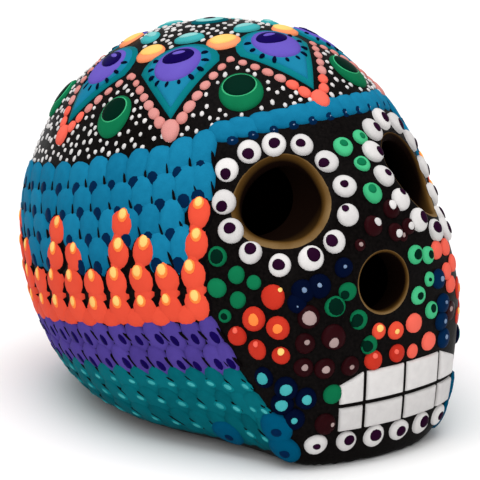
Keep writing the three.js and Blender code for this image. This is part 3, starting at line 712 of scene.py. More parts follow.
def zipped(outer: Array, outer_turn: Array, inner: Array, inner_turn: Array) -> Array:
    """Triangles between two loops, taken in the order of their angles.

    Args:
        outer: Point indices of the outer loop.
        outer_turn: Their angles.
        inner: Point indices of the inner loop.
        inner_turn: Their angles.

    Returns:
        Triangles that face out of the hole, shape (m, 3).
    """
    a, b = outer[np.argsort(outer_turn)], inner[np.argsort(inner_turn)]
    ta, tb = np.sort(outer_turn), np.sort(inner_turn)
    apex = b[np.searchsorted(tb, ta, "left") - 1]
    base = a[np.searchsorted(ta, tb, "right") - 1]
    return np.concatenate([np.stack([apex, np.roll(a, 1), a], 1), np.stack([np.roll(b, 1), base, b], 1)])


class Half(Enum):
    """The two halves of the head, by the way they look along Y."""

    FRONT = -1.0
    BACK = 1.0


@dataclass
class ClayHead:
    """The hollow head: two halves, the bored sockets and nose with bare lips, and the coil over the seam inside."""

    eye_bore: float = 19.8
    nose_bore: float = 13.6
    eye_height: float = 59.8
    nose_height: float = 41.8
    eye_rim: float = 1.65
    eye_bead: float = 5.6
    bridge: float = 2.2
    coil_width: float = 9.0
    coil_height: float = 2.2
    coil_gap: float = 1.1
    coil_painted_shade: float = 0.7
    seam: float = 0.00002
    nose_shift: tuple[float, float] = (-0.8, -0.5)
    outer_grid: tuple[int, int] = (216, 96)
    inner_grid: tuple[int, int] = (120, 56)
    lip_grid: tuple[int, int] = (96, 6)
    coil_grid: tuple[int, int] = (96, 12)

    @property
    def ring_radius(self) -> float:
        """Radius of the bead ring round a socket."""
        return self.eye_bore / 2 + self.eye_rim + self.eye_bead / 2

    @property
    def spread(self) -> float:
        """Distance between the sockets' middles."""
        return self.bridge + 2 * self.ring_radius + self.eye_bead

    @staticmethod
    def ahead(x: float, height: float) -> Seats:
        """The seat on the face straight ahead of a place on the upright axis."""
        return Seats.at(FORM.along(np.array([[x, FORM.core[1], height]]), np.array([[0.0, -1.0, 0.0]])))

    def eyes(self) -> list[Seats]:
        """Seats of the two sockets, the skull's right one first."""
        return [self.ahead(side * self.spread / 2, self.eye_height) for side in (-1.0, 1.0)]

    def bores(self) -> list[Bore]:
        """The sockets, the skull's left one with the thinner lip, and the nose."""
        right, left = self.eyes()
        nose = self.ahead(self.nose_shift[0], self.nose_height + self.nose_shift[1])
        # painted shade on each lip: how much, and the turn where it is darkest
        return [Bore(right, self.eye_bore / 2 - 1.2, lip=2.7, drop=2.0, painted_shade=0.42, darkest=math.radians(115)),
                Bore(left, self.eye_bore / 2 - 0.4, lip=1.6, drop=1.4, painted_shade=0.6, darkest=math.radians(90)),
                Bore(nose, self.nose_bore / 2 - 0.4, lip=0.9, drop=1.0, darkest=math.radians(60))]

    def skin(self, half: Half, inset: float, columns: int, rows: int) -> tuple[Array, Array, Array]:
        """One half of the form as rings about the axis through the core, from the pole to the seam.

        Args:
            half: Which half.
            inset: Wall that is taken off the form.
            columns: Points round a ring.
            rows: Rings from the pole to the seam.

        Returns:
            Points, triangles that face out of the clay, and the indices of the ring at the seam.
        """
        turn = 2 * math.pi * np.arange(columns) / columns - math.pi
        lean = np.linspace(0, 0.5 * math.pi - self.seam, rows + 1)[1:, None]
        flat = np.sin(lean)
        away = np.stack(np.broadcast_arrays(flat * np.cos(turn), half.value * np.cos(lean), flat * np.sin(turn)), -1)
        away = np.concatenate([[[0.0, half.value, 0.0]], away.reshape(-1, 3)])
        points = FORM.along(np.array(FORM.core), away, inset)
        k, after = np.arange(columns), (np.arange(columns) + 1) % columns
        start = (1 + columns * np.arange(rows - 1))[:, None]
        a, b, c, d = (start + k, start + columns + k, start + columns + after, start + after)
        quads = [np.stack([a, b, c], -1).reshape(-1, 3), np.stack([a, c, d], -1).reshape(-1, 3)]
        faces = np.concatenate([np.stack([0 * k, 1 + k, 1 + after], -1)] + quads)
        flip = (half is Half.BACK) != (inset > 0)
        return points, faces[:, ::-1] if flip else faces, 1 + columns * (rows - 1) + k

    def shell(self, half: Half) -> Surface:
        """One half of the clay: outer skin, inner skin, the bores' lips and the face of the seam, closed.

        Args:
            half: Which half.

        Returns:
            The closed surface with the marks that tell bare clay from lacquer and how much painted shade darkens the
            clay.
        """
        outer, outer_faces, outer_seam = self.skin(half, 0.0, *self.outer_grid)
        inner, inner_faces, inner_seam = self.skin(half, FORM.wall, *self.inner_grid)
        holes = self.bores() if half is Half.FRONT else []
        loops = []
        for hole in holes:
            outer, outer_faces, rim = clipped(outer, outer_faces, hole.polar(outer)[0] - hole.radius - hole.lip)
            inner, inner_faces, end = clipped(inner, inner_faces, hole.polar(inner)[0] - hole.radius)
            loops.append((rim, end))
        points = [outer, inner]
        bare = [np.zeros(len(outer)), np.ones(len(inner))]
        # painted shade: none on the outer skin, full on the inner skin inside the hollow
        painted_shade = [0 * bare[0], bare[1]]
        faces = [outer_faces, inner_faces + len(outer)]
        total = len(outer) + len(inner)
        for hole, (rim, end) in zip(holes, loops):
            lips, dark = hole.lip_loops(*self.lip_grid)
            index = total + np.arange(dark.size).reshape(dark.shape)
            after = np.roll(index, -1, 1)
            a, b, c, d = index[1:], index[:-1], after[:-1], after[1:]
            faces += [np.stack(corners, -1).reshape(-1, 3) for corners in ((a, b, c), (a, c, d))]
            faces.append(zipped(rim, hole.polar(outer[rim])[1], index[0], hole.polar(lips[0])[1]))
            faces.append(zipped(index[-1], hole.polar(lips[-1])[1], end + len(outer), hole.polar(inner[end])[1]))
            points.append(lips.reshape(-1, 3))
            bare.append(np.ones(dark.size))
            painted_shade.append(dark.reshape(-1))
            total += dark.size
        turn_of = [np.arctan2(p[:, 2] - FORM.core[2], p[:, 0]) for p in (outer[outer_seam], inner[inner_seam])]
        face = zipped(outer_seam, turn_of[0], inner_seam + len(outer), turn_of[1])
        faces.append(face[:, ::-1] if half is Half.FRONT else face)
        points, faces = np.concatenate(points), np.concatenate(faces)
        used, packed = np.unique(faces, return_inverse=True)
        marks = {"bare": np.concatenate(bare)[used], "painted_shade": np.concatenate(painted_shade)[used]}
        return Surface(points[used], [packed.reshape(-1, 3)], marks)

    def coil(self) -> Surface:
        """The coil inside: a flattened round section carried along the seam's line on the hollow."""
        along, sides = self.coil_grid
        turn = 2 * math.pi * np.arange(along) / along
        around = 2 * math.pi * np.arange(sides) / sides
        across = self.coil_width / 2 * np.cos(around)
        spot = np.stack(np.broadcast_arrays(0.0, FORM.core[1] + across[None], FORM.core[2] + 0 * turn[:, None]), -1)
        away = np.stack(np.broadcast_arrays(np.sin(turn)[:, None], 0.0, np.cos(turn)[:, None] + 0 * across), -1)
        away = np.broadcast_to(away, spot.shape)
        wall = np.linalg.norm(FORM.along(spot, away, FORM.wall) - spot, axis=-1)
        height = self.coil_gap + self.coil_height / 2 * (1 - np.sin(around))
        points = spot + away * (wall - height)[..., None]
        index = np.arange(along * sides).reshape(along, sides)
        a, b = index, np.roll(index, -1, 0)
        faces = np.stack([a, np.roll(a, -1, 1), np.roll(b, -1, 1), b], -1).reshape(-1, 4)
        bare = np.ones(points[..., 0].size)
        # painted shade on the coil inside the hollow
        return Surface(points.reshape(-1, 3), [faces], {"bare": bare, "painted_shade": self.coil_painted_shade * bare})

    def build(self) -> None:
        """Adds the halves and the coil."""
        clay = Clay().material()
        add_piece("face_clay", self.shell(Half.FRONT), clay, ["face_shell"])
        add_piece("cranium_clay", self.shell(Half.BACK), clay, ["cranium_shell"])
        add_piece("seam_clay", self.coil(), clay, ["seam_coil"])


@dataclass(frozen=True)
class View:
    """The photograph's view: camera turn and height, and where the core lies in the frame."""

    azimuth: float = math.radians(-37.89)
    elevation: float = math.radians(15.86)
    distance: float = 1300.0
    scale: float = 4.41
    frame_size: float = 480.0
    core_column: float = 251.7
    core_row: float = 215.1
    sensor: float = 36.0
    nearer: float = 90.0
    further: float = 20.0
    samples: int = 441
    halvings: int = 24

    def axes(self) -> tuple[Array, Array, Array]:
        """Right, up and back directions of the camera."""
        a, e = self.azimuth, self.elevation
        back = np.array([math.sin(a) * math.cos(e), -math.cos(a) * math.cos(e), math.sin(e)])
        right = np.array([math.cos(a), math.sin(a), 0.0])
        return right, np.cross(back, right), back

    def eye(self) -> Array:
        """Place of the camera, in millimetres."""
        right, up, back = self.axes()
        aside = (self.frame_size / 2 - self.core_column) / self.scale
        above = (self.core_row - self.frame_size / 2) / self.scale
        return np.array(FORM.core) + aside * right + above * up + self.distance * back

    def seats(self, places: Sequence[tuple[float, float]]) -> Seats:
        """Seats on the skin that show at places in the frame.

        Rays from the camera are stepped through the form and the first crossing is halved.

        Args:
            places: Columns and rows in the frame.

        Returns:
            One seat for each place.
        """
        right, up, back = self.axes()
        spot = (np.array(places, float) - self.frame_size / 2) / (self.scale * self.distance)
        away = spot[:, :1] * right - spot[:, 1:] * up - back
        steps = np.linspace(self.distance - self.nearer, self.distance + self.further, self.samples)
        value = FORM.share(self.eye() + steps[None, :, None] * away[:, None])
        hit = value < 1
        first = np.where(hit.any(1), hit.argmax(1), value.argmin(1))
        near, far = steps[np.maximum(first - 1, 0)], steps[first]
        for _ in range(self.halvings):
            middle = (near + far) / 2
            inside = FORM.share(self.eye() + middle[:, None] * away) < 1
            near, far = np.where(inside, near, middle), np.where(inside, middle, far)
        return Seats.at(FORM.settle(self.eye() + far[:, None] * away))


VIEW = View()


@dataclass(frozen=True)
class DotGroup:
    """Dots of one paint on the face: places in the frame, sizes, and the smaller dab on each, a second paint on some
    groups and a painted highlight on others.
    """

    paint: Palette
    heart: Palette | None
    places: tuple[tuple[float, float], ...]
    sizes: tuple[float, ...]
    hearts: tuple[tuple[float, float, float], ...] = ((0.0, 0.0, 0.45),)
    mirror: bool = True


@dataclass
class Face:
    """The painted face: bead rings, chin beads, teeth and the loose dots."""

    head: ClayHead
    bead_rise: float = 1.4
    beads: int = 13
    pupil_rise: float = 0.22
    pupil_reach: float = 0.94
    chin_bead: float = 4.6
    chin_rise: float = 1.1
    chin_space: float = 2.6
    chin_beads: int = 6
    chin_shift: tuple[float, float] = (0.6, 0.5)
    chin_wide: float = 1.2
    chin_tall: float = 1.1
    teeth_bottom: float = 8.2
    lower_tooth: float = 6.4
    upper_tooth: float = 7.8
    tooth_start: float = -13.2
    tooth_widths: tuple[float, ...] = (6.8, 11.2, 11.4, 7.0)
    tooth_line: float = 0.7
    drawn_line: float = 0.95
    tooth_rise: float = 0.9
    corner_cut: float = 2.4
    tooth_clear: float = 0.55
    jaw_radius: float = 48.0
    dot_rise: float = 0.2
    heart_rise: float = 0.2
    far_gap: float = 0.75
    limb: float = -0.25
    limb_rise: float = 0.07
    pupils: tuple[tuple[float, float, float], ...] = (
        (-0.2, -0.05, 0.44), (-0.4, -0.4, 0.46), (-0.15, -0.05, 0.36), (-0.4, 0.45, 0.34), (-0.36, 0.0, 0.56),
        (0.12, 0.28, 0.58), (0.0, 0.0, 0.55), (0.1, 0.3, 0.57), (0.0, 0.18, 0.5), (-0.1, -0.4, 0.5),
        (-0.05, -0.58, 0.5), (-0.05, -0.3, 0.52), (0.0, -0.05, 0.5))
    strays: tuple[tuple[float, float], ...] = (
        (0.3, -0.1), (0.2, 0.0), (0.6, -0.4), (0.8, -0.9), (0.1, -0.9), (-0.3, -0.3), (-0.8, -0.3), (-1.1, 0.9),
        (-0.3, 1.3), (0.7, 1.5), (0.5, 2.0), (1.4, 0.5), (0.7, -0.7))
    chin_looks: tuple[tuple[float, float, float], ...] = (
        (0.0, 0.0, 0.36), (0.08, 0.12, 0.58), (0.0, 0.1, 0.62), (0.0, 0.0, 0.56), (0.08, 0.1, 0.64), (0.0, 0.0, 0.5))

    @property
    def mouth(self) -> float:
        """Height of the line between the two rows of teeth."""
        return self.teeth_bottom + self.lower_tooth

    def eye_rings(self) -> None:
        """White beads round the sockets, the right ring moved by listed steps, with plum pupils that look every way."""
        turn = 2 * math.pi * (np.arange(self.beads) + 0.5) / self.beads
        for side, eye in zip(("right", "left"), self.head.eyes()):
            radius = self.head.ring_radius
            right, up = np.array(self.strays).T * (side == "right")
            seats = eye.repeated(self.beads).beside(radius * np.sin(turn) + right, radius * np.cos(turn) + up)
            size = self.head.eye_bead * RNG.uniform(0.92, 1.04, self.beads)
            nodes = [f"{side}_eye_bead_{i + 1}" for i in range(self.beads)]
            add_paint(f"{side}_eye_beads", domes(seats, size, size, self.bead_rise, spokes=20, rings=6, wobble=0.02),
                      Palette.WHITE, nodes)
            looks = np.array(self.pupils if side == "right" else self.pupils[::-1])
            looks[:, 0] *= 1 if side == "right" else -1
            reach = np.hypot(looks[:, 0], looks[:, 1])
            looks[:, :2] *= np.minimum(1, (self.pupil_reach - looks[:, 2]) / np.maximum(reach, 0.01))[:, None]
            dab = size * looks[:, 2]
            add_paint(f"{side}_eye_pupils", domes(
                seats, dab, dab, self.pupil_rise, spokes=14, rings=3, carrier=Carrier(size, size, self.bead_rise),
                shift=(looks[:, 0] * size / 2, looks[:, 1] * size / 2), wobble=0.05), Palette.PLUM)

    def chin(self) -> None:
        """White beads along the chin with plum pupils."""
        line = LevelLine(self.teeth_bottom - (self.chin_bead + self.tooth_line) / 2, 0.0)
        reach = (np.arange(self.chin_beads) - (self.chin_beads - 1) / 2) * (self.chin_bead + self.chin_space)
        seats = Seats.at(FORM.level(line.height, line.fall, line.azimuth(reach))).beside(*self.chin_shift)
        size = self.chin_bead * RNG.uniform(0.92, 1.06, self.chin_beads)
        nodes = [f"chin_bead_{i + 1}" for i in range(self.chin_beads)]
        body = Carrier(self.chin_wide * size, self.chin_tall * size, self.chin_rise)
        add_paint("chin_beads", domes(seats, body.width, body.height, body.rise, spokes=18, rings=5), Palette.WHITE,
                  nodes)
        right, up, share = np.array(self.chin_looks).T
        add_paint("chin_pupils", domes(seats, self.chin_wide * share * size, share * size, 0.2, spokes=12, rings=3,
                                       carrier=body, shift=(right * size, up * size)), Palette.PLUM)

    def teeth(self) -> None:
        """White tiles in two rows along the lip: grids over the skin, raised like pillows with round edges.

        The rise is the root of 1 less the tenth power of the distance to the tile's edge; the first and last upper
        tiles have their outer corners cut away in a slope.
        """
        lip = LevelLine(self.mouth, 0.0)
        starts = self.tooth_start + np.concatenate([[0.0], np.cumsum(self.tooth_widths)])
        u, v = np.meshgrid(np.linspace(0, 1, 17), np.linspace(0, 1, 15), indexing="ij")
        soft_u, soft_v = (0.5 - 0.5 * np.cos(math.pi * (0.5 - 0.5 * np.cos(math.pi * s))) for s in (u, v))
        rim = np.maximum(np.abs(2 * soft_u - 1), np.abs(2 * soft_v - 1))
        rise = self.tooth_rise * np.sqrt(np.clip(1 - rim ** 10, 0, 1)) - SINK * (rim > 0.999)
        rows = (("upper", self.mouth, self.mouth + self.upper_tooth, 0.85),
                ("lower", self.teeth_bottom, self.mouth, 0.5))
        for row, low, high, tint in rows:
            tiles = []
            for column, (left, right) in enumerate(zip(starts[:-1], starts[1:])):
                along = left + self.drawn_line / 2 + soft_u * (right - left - self.drawn_line)
                slope = (1 - soft_u) * (column == 0) + soft_u * (column == len(self.tooth_widths) - 1)
                cut = self.corner_cut * slope * (row == "upper")
                height = low + self.drawn_line / 2 + soft_v * (high - low - self.drawn_line - cut)
                skin = FORM.level(height, 0.0, lip.azimuth(along))
                out = FORM.normal(skin)
                tiles.append(self.pad(skin + out * rise[..., None], skin - out * SINK, tint + RNG.uniform(-0.1, 0.1)))
            nodes = [f"tooth_{row}_{i + 1}" for i in range(len(self.tooth_widths))]
            add_paint(f"{row}_teeth", Surface.joined(tiles), Palette.WHITE, nodes)

    @staticmethod
    def cells(grid: Array) -> Array:
        """Four-sided faces between the points of a grid of indices."""
        return np.stack([grid[:-1, :-1], grid[1:, :-1], grid[1:, 1:], grid[:-1, 1:]], -1).reshape(-1, 4)

    @classmethod
    def pad(cls, top: Array, under: Array, tint: float) -> Surface:
        """A closed pad from two grids that meet at their edges.

        Args:
            top: Upper grid, shape (columns, rows, 3).
            under: Lower grid of the same shape; its edge is left out.
            tint: From the paint's shade to its body colour.

        Returns:
            The closed surface.
        """
        columns, rows = top.shape[:2]
        upper = np.arange(columns * rows).reshape(columns, rows)
        lower = upper.copy()
        inside = np.arange((columns - 2) * (rows - 2)).reshape(columns - 2, rows - 2)
        lower[1:-1, 1:-1] = columns * rows + inside
        points = np.concatenate([top.reshape(-1, 3), under[1:-1, 1:-1].reshape(-1, 3)])
        marks = {"tint": np.full(len(points), tint), "rim": np.zeros(len(points))}
        return Surface(points, [cls.cells(upper), cls.cells(lower)[:, ::-1]], marks)

    def loose_dots(self) -> list[DotGroup]:
        """The loose dots, read from the photograph: each group's paint, places, sizes and smaller dabs."""
        p = Palette
        return [
            DotGroup(p.GREEN, p.DARK_GREEN, ((217.5, 256.5), (225, 316)), (4.6, 3.2),
                     ((0.0, 0.0, 0.76), (0.0, 0.0, 0.55))),
            DotGroup(p.GREEN, None, ((217, 288), (236.5, 275), (254, 282.5), (238, 300), (332.5, 394)),
                     (4.6, 4.1, 3.5, 4.0, 4.7)),
            # painted highlights: the yellow dabs high on these red dots
            DotGroup(p.RED, p.YELLOW, ((273, 297), (281, 355.5)), (5.7, 4.2), ((0.56, 0.6, 0.18), (0.0, 0.5, 0.4))),
            DotGroup(p.RED, p.AMBER, ((254, 319), (278, 328)), (5.8, 5.5), ((0.15, 0.0, 0.5), (0.0, 0.0, 0.42))),
            # painted highlights: the salmon dabs at the top of these red dots
            DotGroup(p.RED, p.SALMON, ((237.5, 336), (257.5, 349.5)), (4.7, 4.7), ((-0.1, 0.6, 0.3), (0.0, 0.6, 0.3))),
            # painted highlights: the pale blue specks on these navy dots
            DotGroup(p.NAVY, p.PALE_BLUE, ((303, 291), (319.5, 286), (343.5, 267.5), (297, 303)),
                     (5.4, 5.6, 4.6, 4.6), ((0.05, 0.1, 0.24), (-0.1, 0.1, 0.2), (0.0, 0.1, 0.2), (0.0, -0.3, 0.1))),
            # the pink dabs on the maroon dots, here and in the next two groups: partly a second paint, partly painted
            # highlights
            DotGroup(p.MAROON, p.PINK, ((308.5, 317), (333.5, 337), (305, 343.5)), (5.4, 6.0, 4.8),
                     ((0.0, -0.05, 0.66), (-0.1, -0.35, 0.42), (0.1, 0.2, 0.28))),
            DotGroup(p.MAROON, p.PINK, ((303.5, 367.5), (324.5, 368.5), (350, 366)), (4.6, 5.0, 4.6),
                     ((0.05, 0.1, 0.36), (0.0, 0.0, 0.4), (0.0, 0.0, 0.26))),
            DotGroup(p.MAROON, p.PINK, ((325, 424), (360, 245)), (5.2, 2.8), ((0.55, 0.0, 0.2), (0.0, 0.1, 0.4))),
            DotGroup(p.NAVY, p.LIGHT_TEAL, ((264, 377.5), (286, 388.5), (282, 404), (306, 398.5), (294, 419)),
                     (5.0, 5.6, 5.4, 5.2, 5.2),
                     ((0.0, 0.0, 0.6), (0.0, 0.0, 0.52), (0.0, 0.0, 0.54), (0.0, 0.0, 0.48), (0.0, 0.0, 0.3))),
            DotGroup(p.GREEN, p.DARK_GREEN, ((335, 306.5), (347.5, 291.5), (358.5, 319.5), (369, 345)),
                     (5.0, 4.4, 4.6, 4.4),
                     ((0.0, 0.0, 0.84), (-0.45, -0.25, 0.5), (-0.3, 0.0, 0.7), (-0.35, 0.0, 0.66)), False),
            DotGroup(p.MINT, p.DARK_GREEN, ((415, 254.5), (427.5, 255), (418, 295.5), (431, 310), (429, 279)),
                     (4.6, 4.2, 4.4, 4.2, 3.4),
                     ((0.1, 0.0, 0.6), (0.2, 0.0, 0.5), (0.0, 0.0, 0.46), (0.0, 0.25, 0.5), (-0.2, 0.0, 0.3)), False),
            DotGroup(p.MINT, p.GREEN, ((343, 147), (360, 137.5), (362, 164), (372.5, 193)), (5.0, 4.0, 4.2, 5.0),
                     ((0.0, 0.2, 0.42), (0.1, 0.0, 0.42), (-0.2, 0.1, 0.6), (-0.1, 0.3, 0.46)), False),
            # painted highlights: the white specks on these maroon dots
            DotGroup(p.MAROON, p.WHITE, ((373, 226), (391, 209), (395.5, 232), (408, 226.5)), (4.8, 4.6, 4.2, 4.0),
                     ((0.45, 0.3, 0.44), (0.1, 0.35, 0.5), (0.2, -0.2, 0.5), (0.2, 0.0, 0.5)), False),
            DotGroup(p.ORANGE, p.YELLOW, ((378.5, 331), (395.5, 330.5)), (3.8, 4.4),
                     ((0.0, 0.4, 0.5), (-0.1, 0.0, 0.3)), False),
            DotGroup(p.SALMON, None, ((413.5, 323), (428, 341), (436, 250), (444.5, 247), (451.5, 263), (446, 271),
                                      (450, 284), (412, 351)), (4.8, 4.6, 4.4, 4.2, 4.2, 4.0, 4.2, 3.4), mirror=False),
            # painted highlights: the salmon dabs on these red dots
            DotGroup(p.RED, p.SALMON, ((373, 360), (396.5, 353)), (4.8, 4.4), ((0.0, 0.5, 0.3), (-0.3, 0.3, 0.3)),
                     False),
            # painted highlights: the pale blue streaks on these deep blue dots
            DotGroup(p.DEEP_BLUE, p.PALE_BLUE, ((438, 279), (442.5, 303), (441, 321), (443, 338)), (4.8, 4.8, 4.6, 4.8),
                     ((0.2, 0.0, 0.3), (0.1, 0.1, 0.2), (0.2, 0.0, 0.24), (0.0, 0.2, 0.24)), False),
        ]

    def on_teeth(self, seats: Seats, sizes: Array) -> Array:
        """Tells which dots would lie on the teeth."""
        lip = LevelLine(self.mouth, 0.0)
        ends = lip.azimuth(self.tooth_start + np.array([0.0, sum(self.tooth_widths)]))
        azimuth = np.arctan2(seats.point[:, 0], FORM.core[1] - seats.point[:, 1])
        margin = self.tooth_clear * sizes
        turn = margin / self.jaw_radius
        beside = (azimuth > ends[0] - turn) & (azimuth < ends[1] + turn)
        return beside & (seats.point[:, 2] < self.mouth + self.upper_tooth + margin)

    def dots(self) -> None:
        """Adds the loose dots as seen, and the same on the far cheek, where those at the outline lie flatter."""
        groups = self.loose_dots()
        seen = [VIEW.seats(g.places) for g in groups]
        taken = Seats.together(seen).point
        domes_of: dict[Palette, list[Surface]] = {}
        for group, seats in zip(groups, seen):
            sizes, hearts = np.array(group.sizes), np.resize(np.array(group.hearts, float), (len(seats), 3))
            sides = [(seats, sizes, hearts, self.dot_rise * sizes)]
            if group.mirror:
                far = seats.mirrored()
                gap = np.linalg.norm(far.point[:, None] - taken[None], axis=-1).min(1)
                free = (gap > self.far_gap * sizes) & ~self.on_teeth(far, sizes)
                flat = np.where(far.normal @ VIEW.axes()[2] > self.limb, self.limb_rise, self.dot_rise) * sizes
                sides.append((far.only(free), sizes[free], hearts[free] * np.array([-1.0, 1.0, 1.0]), flat[free]))
            for place, size, heart, rise in sides:
                if not len(place):
                    continue
                drops = domes(place, size, size, rise, spokes=16, rings=4, wobble=0.03)
                domes_of.setdefault(group.paint, []).append(drops)
                # the smaller dab: a second paint on some groups, a painted highlight on others
                if group.heart:
                    dab = size * heart[:, 2]
                    top = domes(place, dab, dab, self.heart_rise, spokes=12, rings=3, wobble=0.06,
                                carrier=Carrier(size, size, rise),
                                shift=(heart[:, 0] * size / 2, heart[:, 1] * size / 2))
                    domes_of.setdefault(group.heart, []).append(top)
        for paint, parts in domes_of.items():
            add_paint(f"face_dots_{paint.name.lower()}", Surface.joined(parts), paint)

    def build(self) -> None:
        """Adds everything on the face."""
        self.eye_rings()
        self.chin()
        self.teeth()
        self.dots()


@dataclass(frozen=True)
class Edge:
    """An edge of a scale band: its level, its fall to the back and how far it reaches into the face."""

    height: float
    fall: float
    forward: float = 0.0


class Band:
    """Places between two edges that run round the back of the head, counted in daubs from the +X side."""

    def __init__(self, low: Edge, high: Edge, daubs: int, face: float, growth: float) -> None:
        """Measures both edges.

        Args:
            low: Lower edge.
            high: Upper edge.
            daubs: Daubs in a row.
            face: Azimuth where the bands stop at the face.
            growth: How much wider the daubs are at the back than at the face.
        """
        self.edges, self.daubs, self.growth = (low, high), daubs, growth
        self.lines = tuple(LevelLine(e.height, e.fall) for e in self.edges)
        self.starts = tuple(line.distance(face) - e.forward for line, e in zip(self.lines, self.edges))

    def share(self, place: Array) -> Array:
        """Share of the way round at a place: even steps less a sine, so that the daubs grow to the back."""
        turn = 2 * math.pi * np.asarray(place, float) / self.daubs
        return (turn - self.growth * np.sin(turn)) / (2 * math.pi)

    def points(self, place: Array, up: Array) -> Array:
        """Points on the skin at a place along the band and a share of its height.

        Args:
            place: Place counted in daubs.
            up: 0 at the lower edge and 1 at the upper one; other shares lie beyond them.

        Returns:
            Points, shape (n, 3).
        """
        share = self.share(place)
        low, high = self.edges
        start, end = (line.azimuth(s + 2 * (line.half - s) * share) for line, s in zip(self.lines, self.starts))
        height = low.height + (high.height - low.height) * up
        return FORM.level(height, low.fall + (high.fall - low.fall) * up, start + (end - start) * np.clip(up, 0, 1))

    def seats(self, place: Array, up: Array) -> Seats:
        """Seats whose up runs along the band's own columns."""
        return Seats.at(self.points(place, up), self.points(place, up + 0.05) - self.points(place, up - 0.05))

    def turn(self, place: Array) -> Array:
        """Turn from the middle of the face at the upper edge, in degrees, on either side."""
        x, y, _ = self.points(place, np.ones_like(place)).T
        return np.degrees(np.abs(np.arctan2(x, FORM.core[1] - y)))

    def tall(self, place: Array) -> Array:
        """Height of the band at a place, in millimetres."""
        span = self.points(place, np.ones_like(place)) - self.points(place, np.zeros_like(place))
        return np.linalg.norm(span, axis=1)

    def wide(self, place: Array, up: Array) -> Array:
        """Width of one daub at a place, in millimetres."""
        middle = np.clip(place, 0.5, self.daubs - 0.5)
        return np.linalg.norm(self.points(middle + 0.5, up) - self.points(middle - 0.5, up), axis=1)


@dataclass(frozen=True)
class Scale:
    """The scales of one band: rows, size as a share of the room each has, rise, and lift of the upper end."""

    rows: int
    across: float
    upward: float
    rise: float
    lean: float


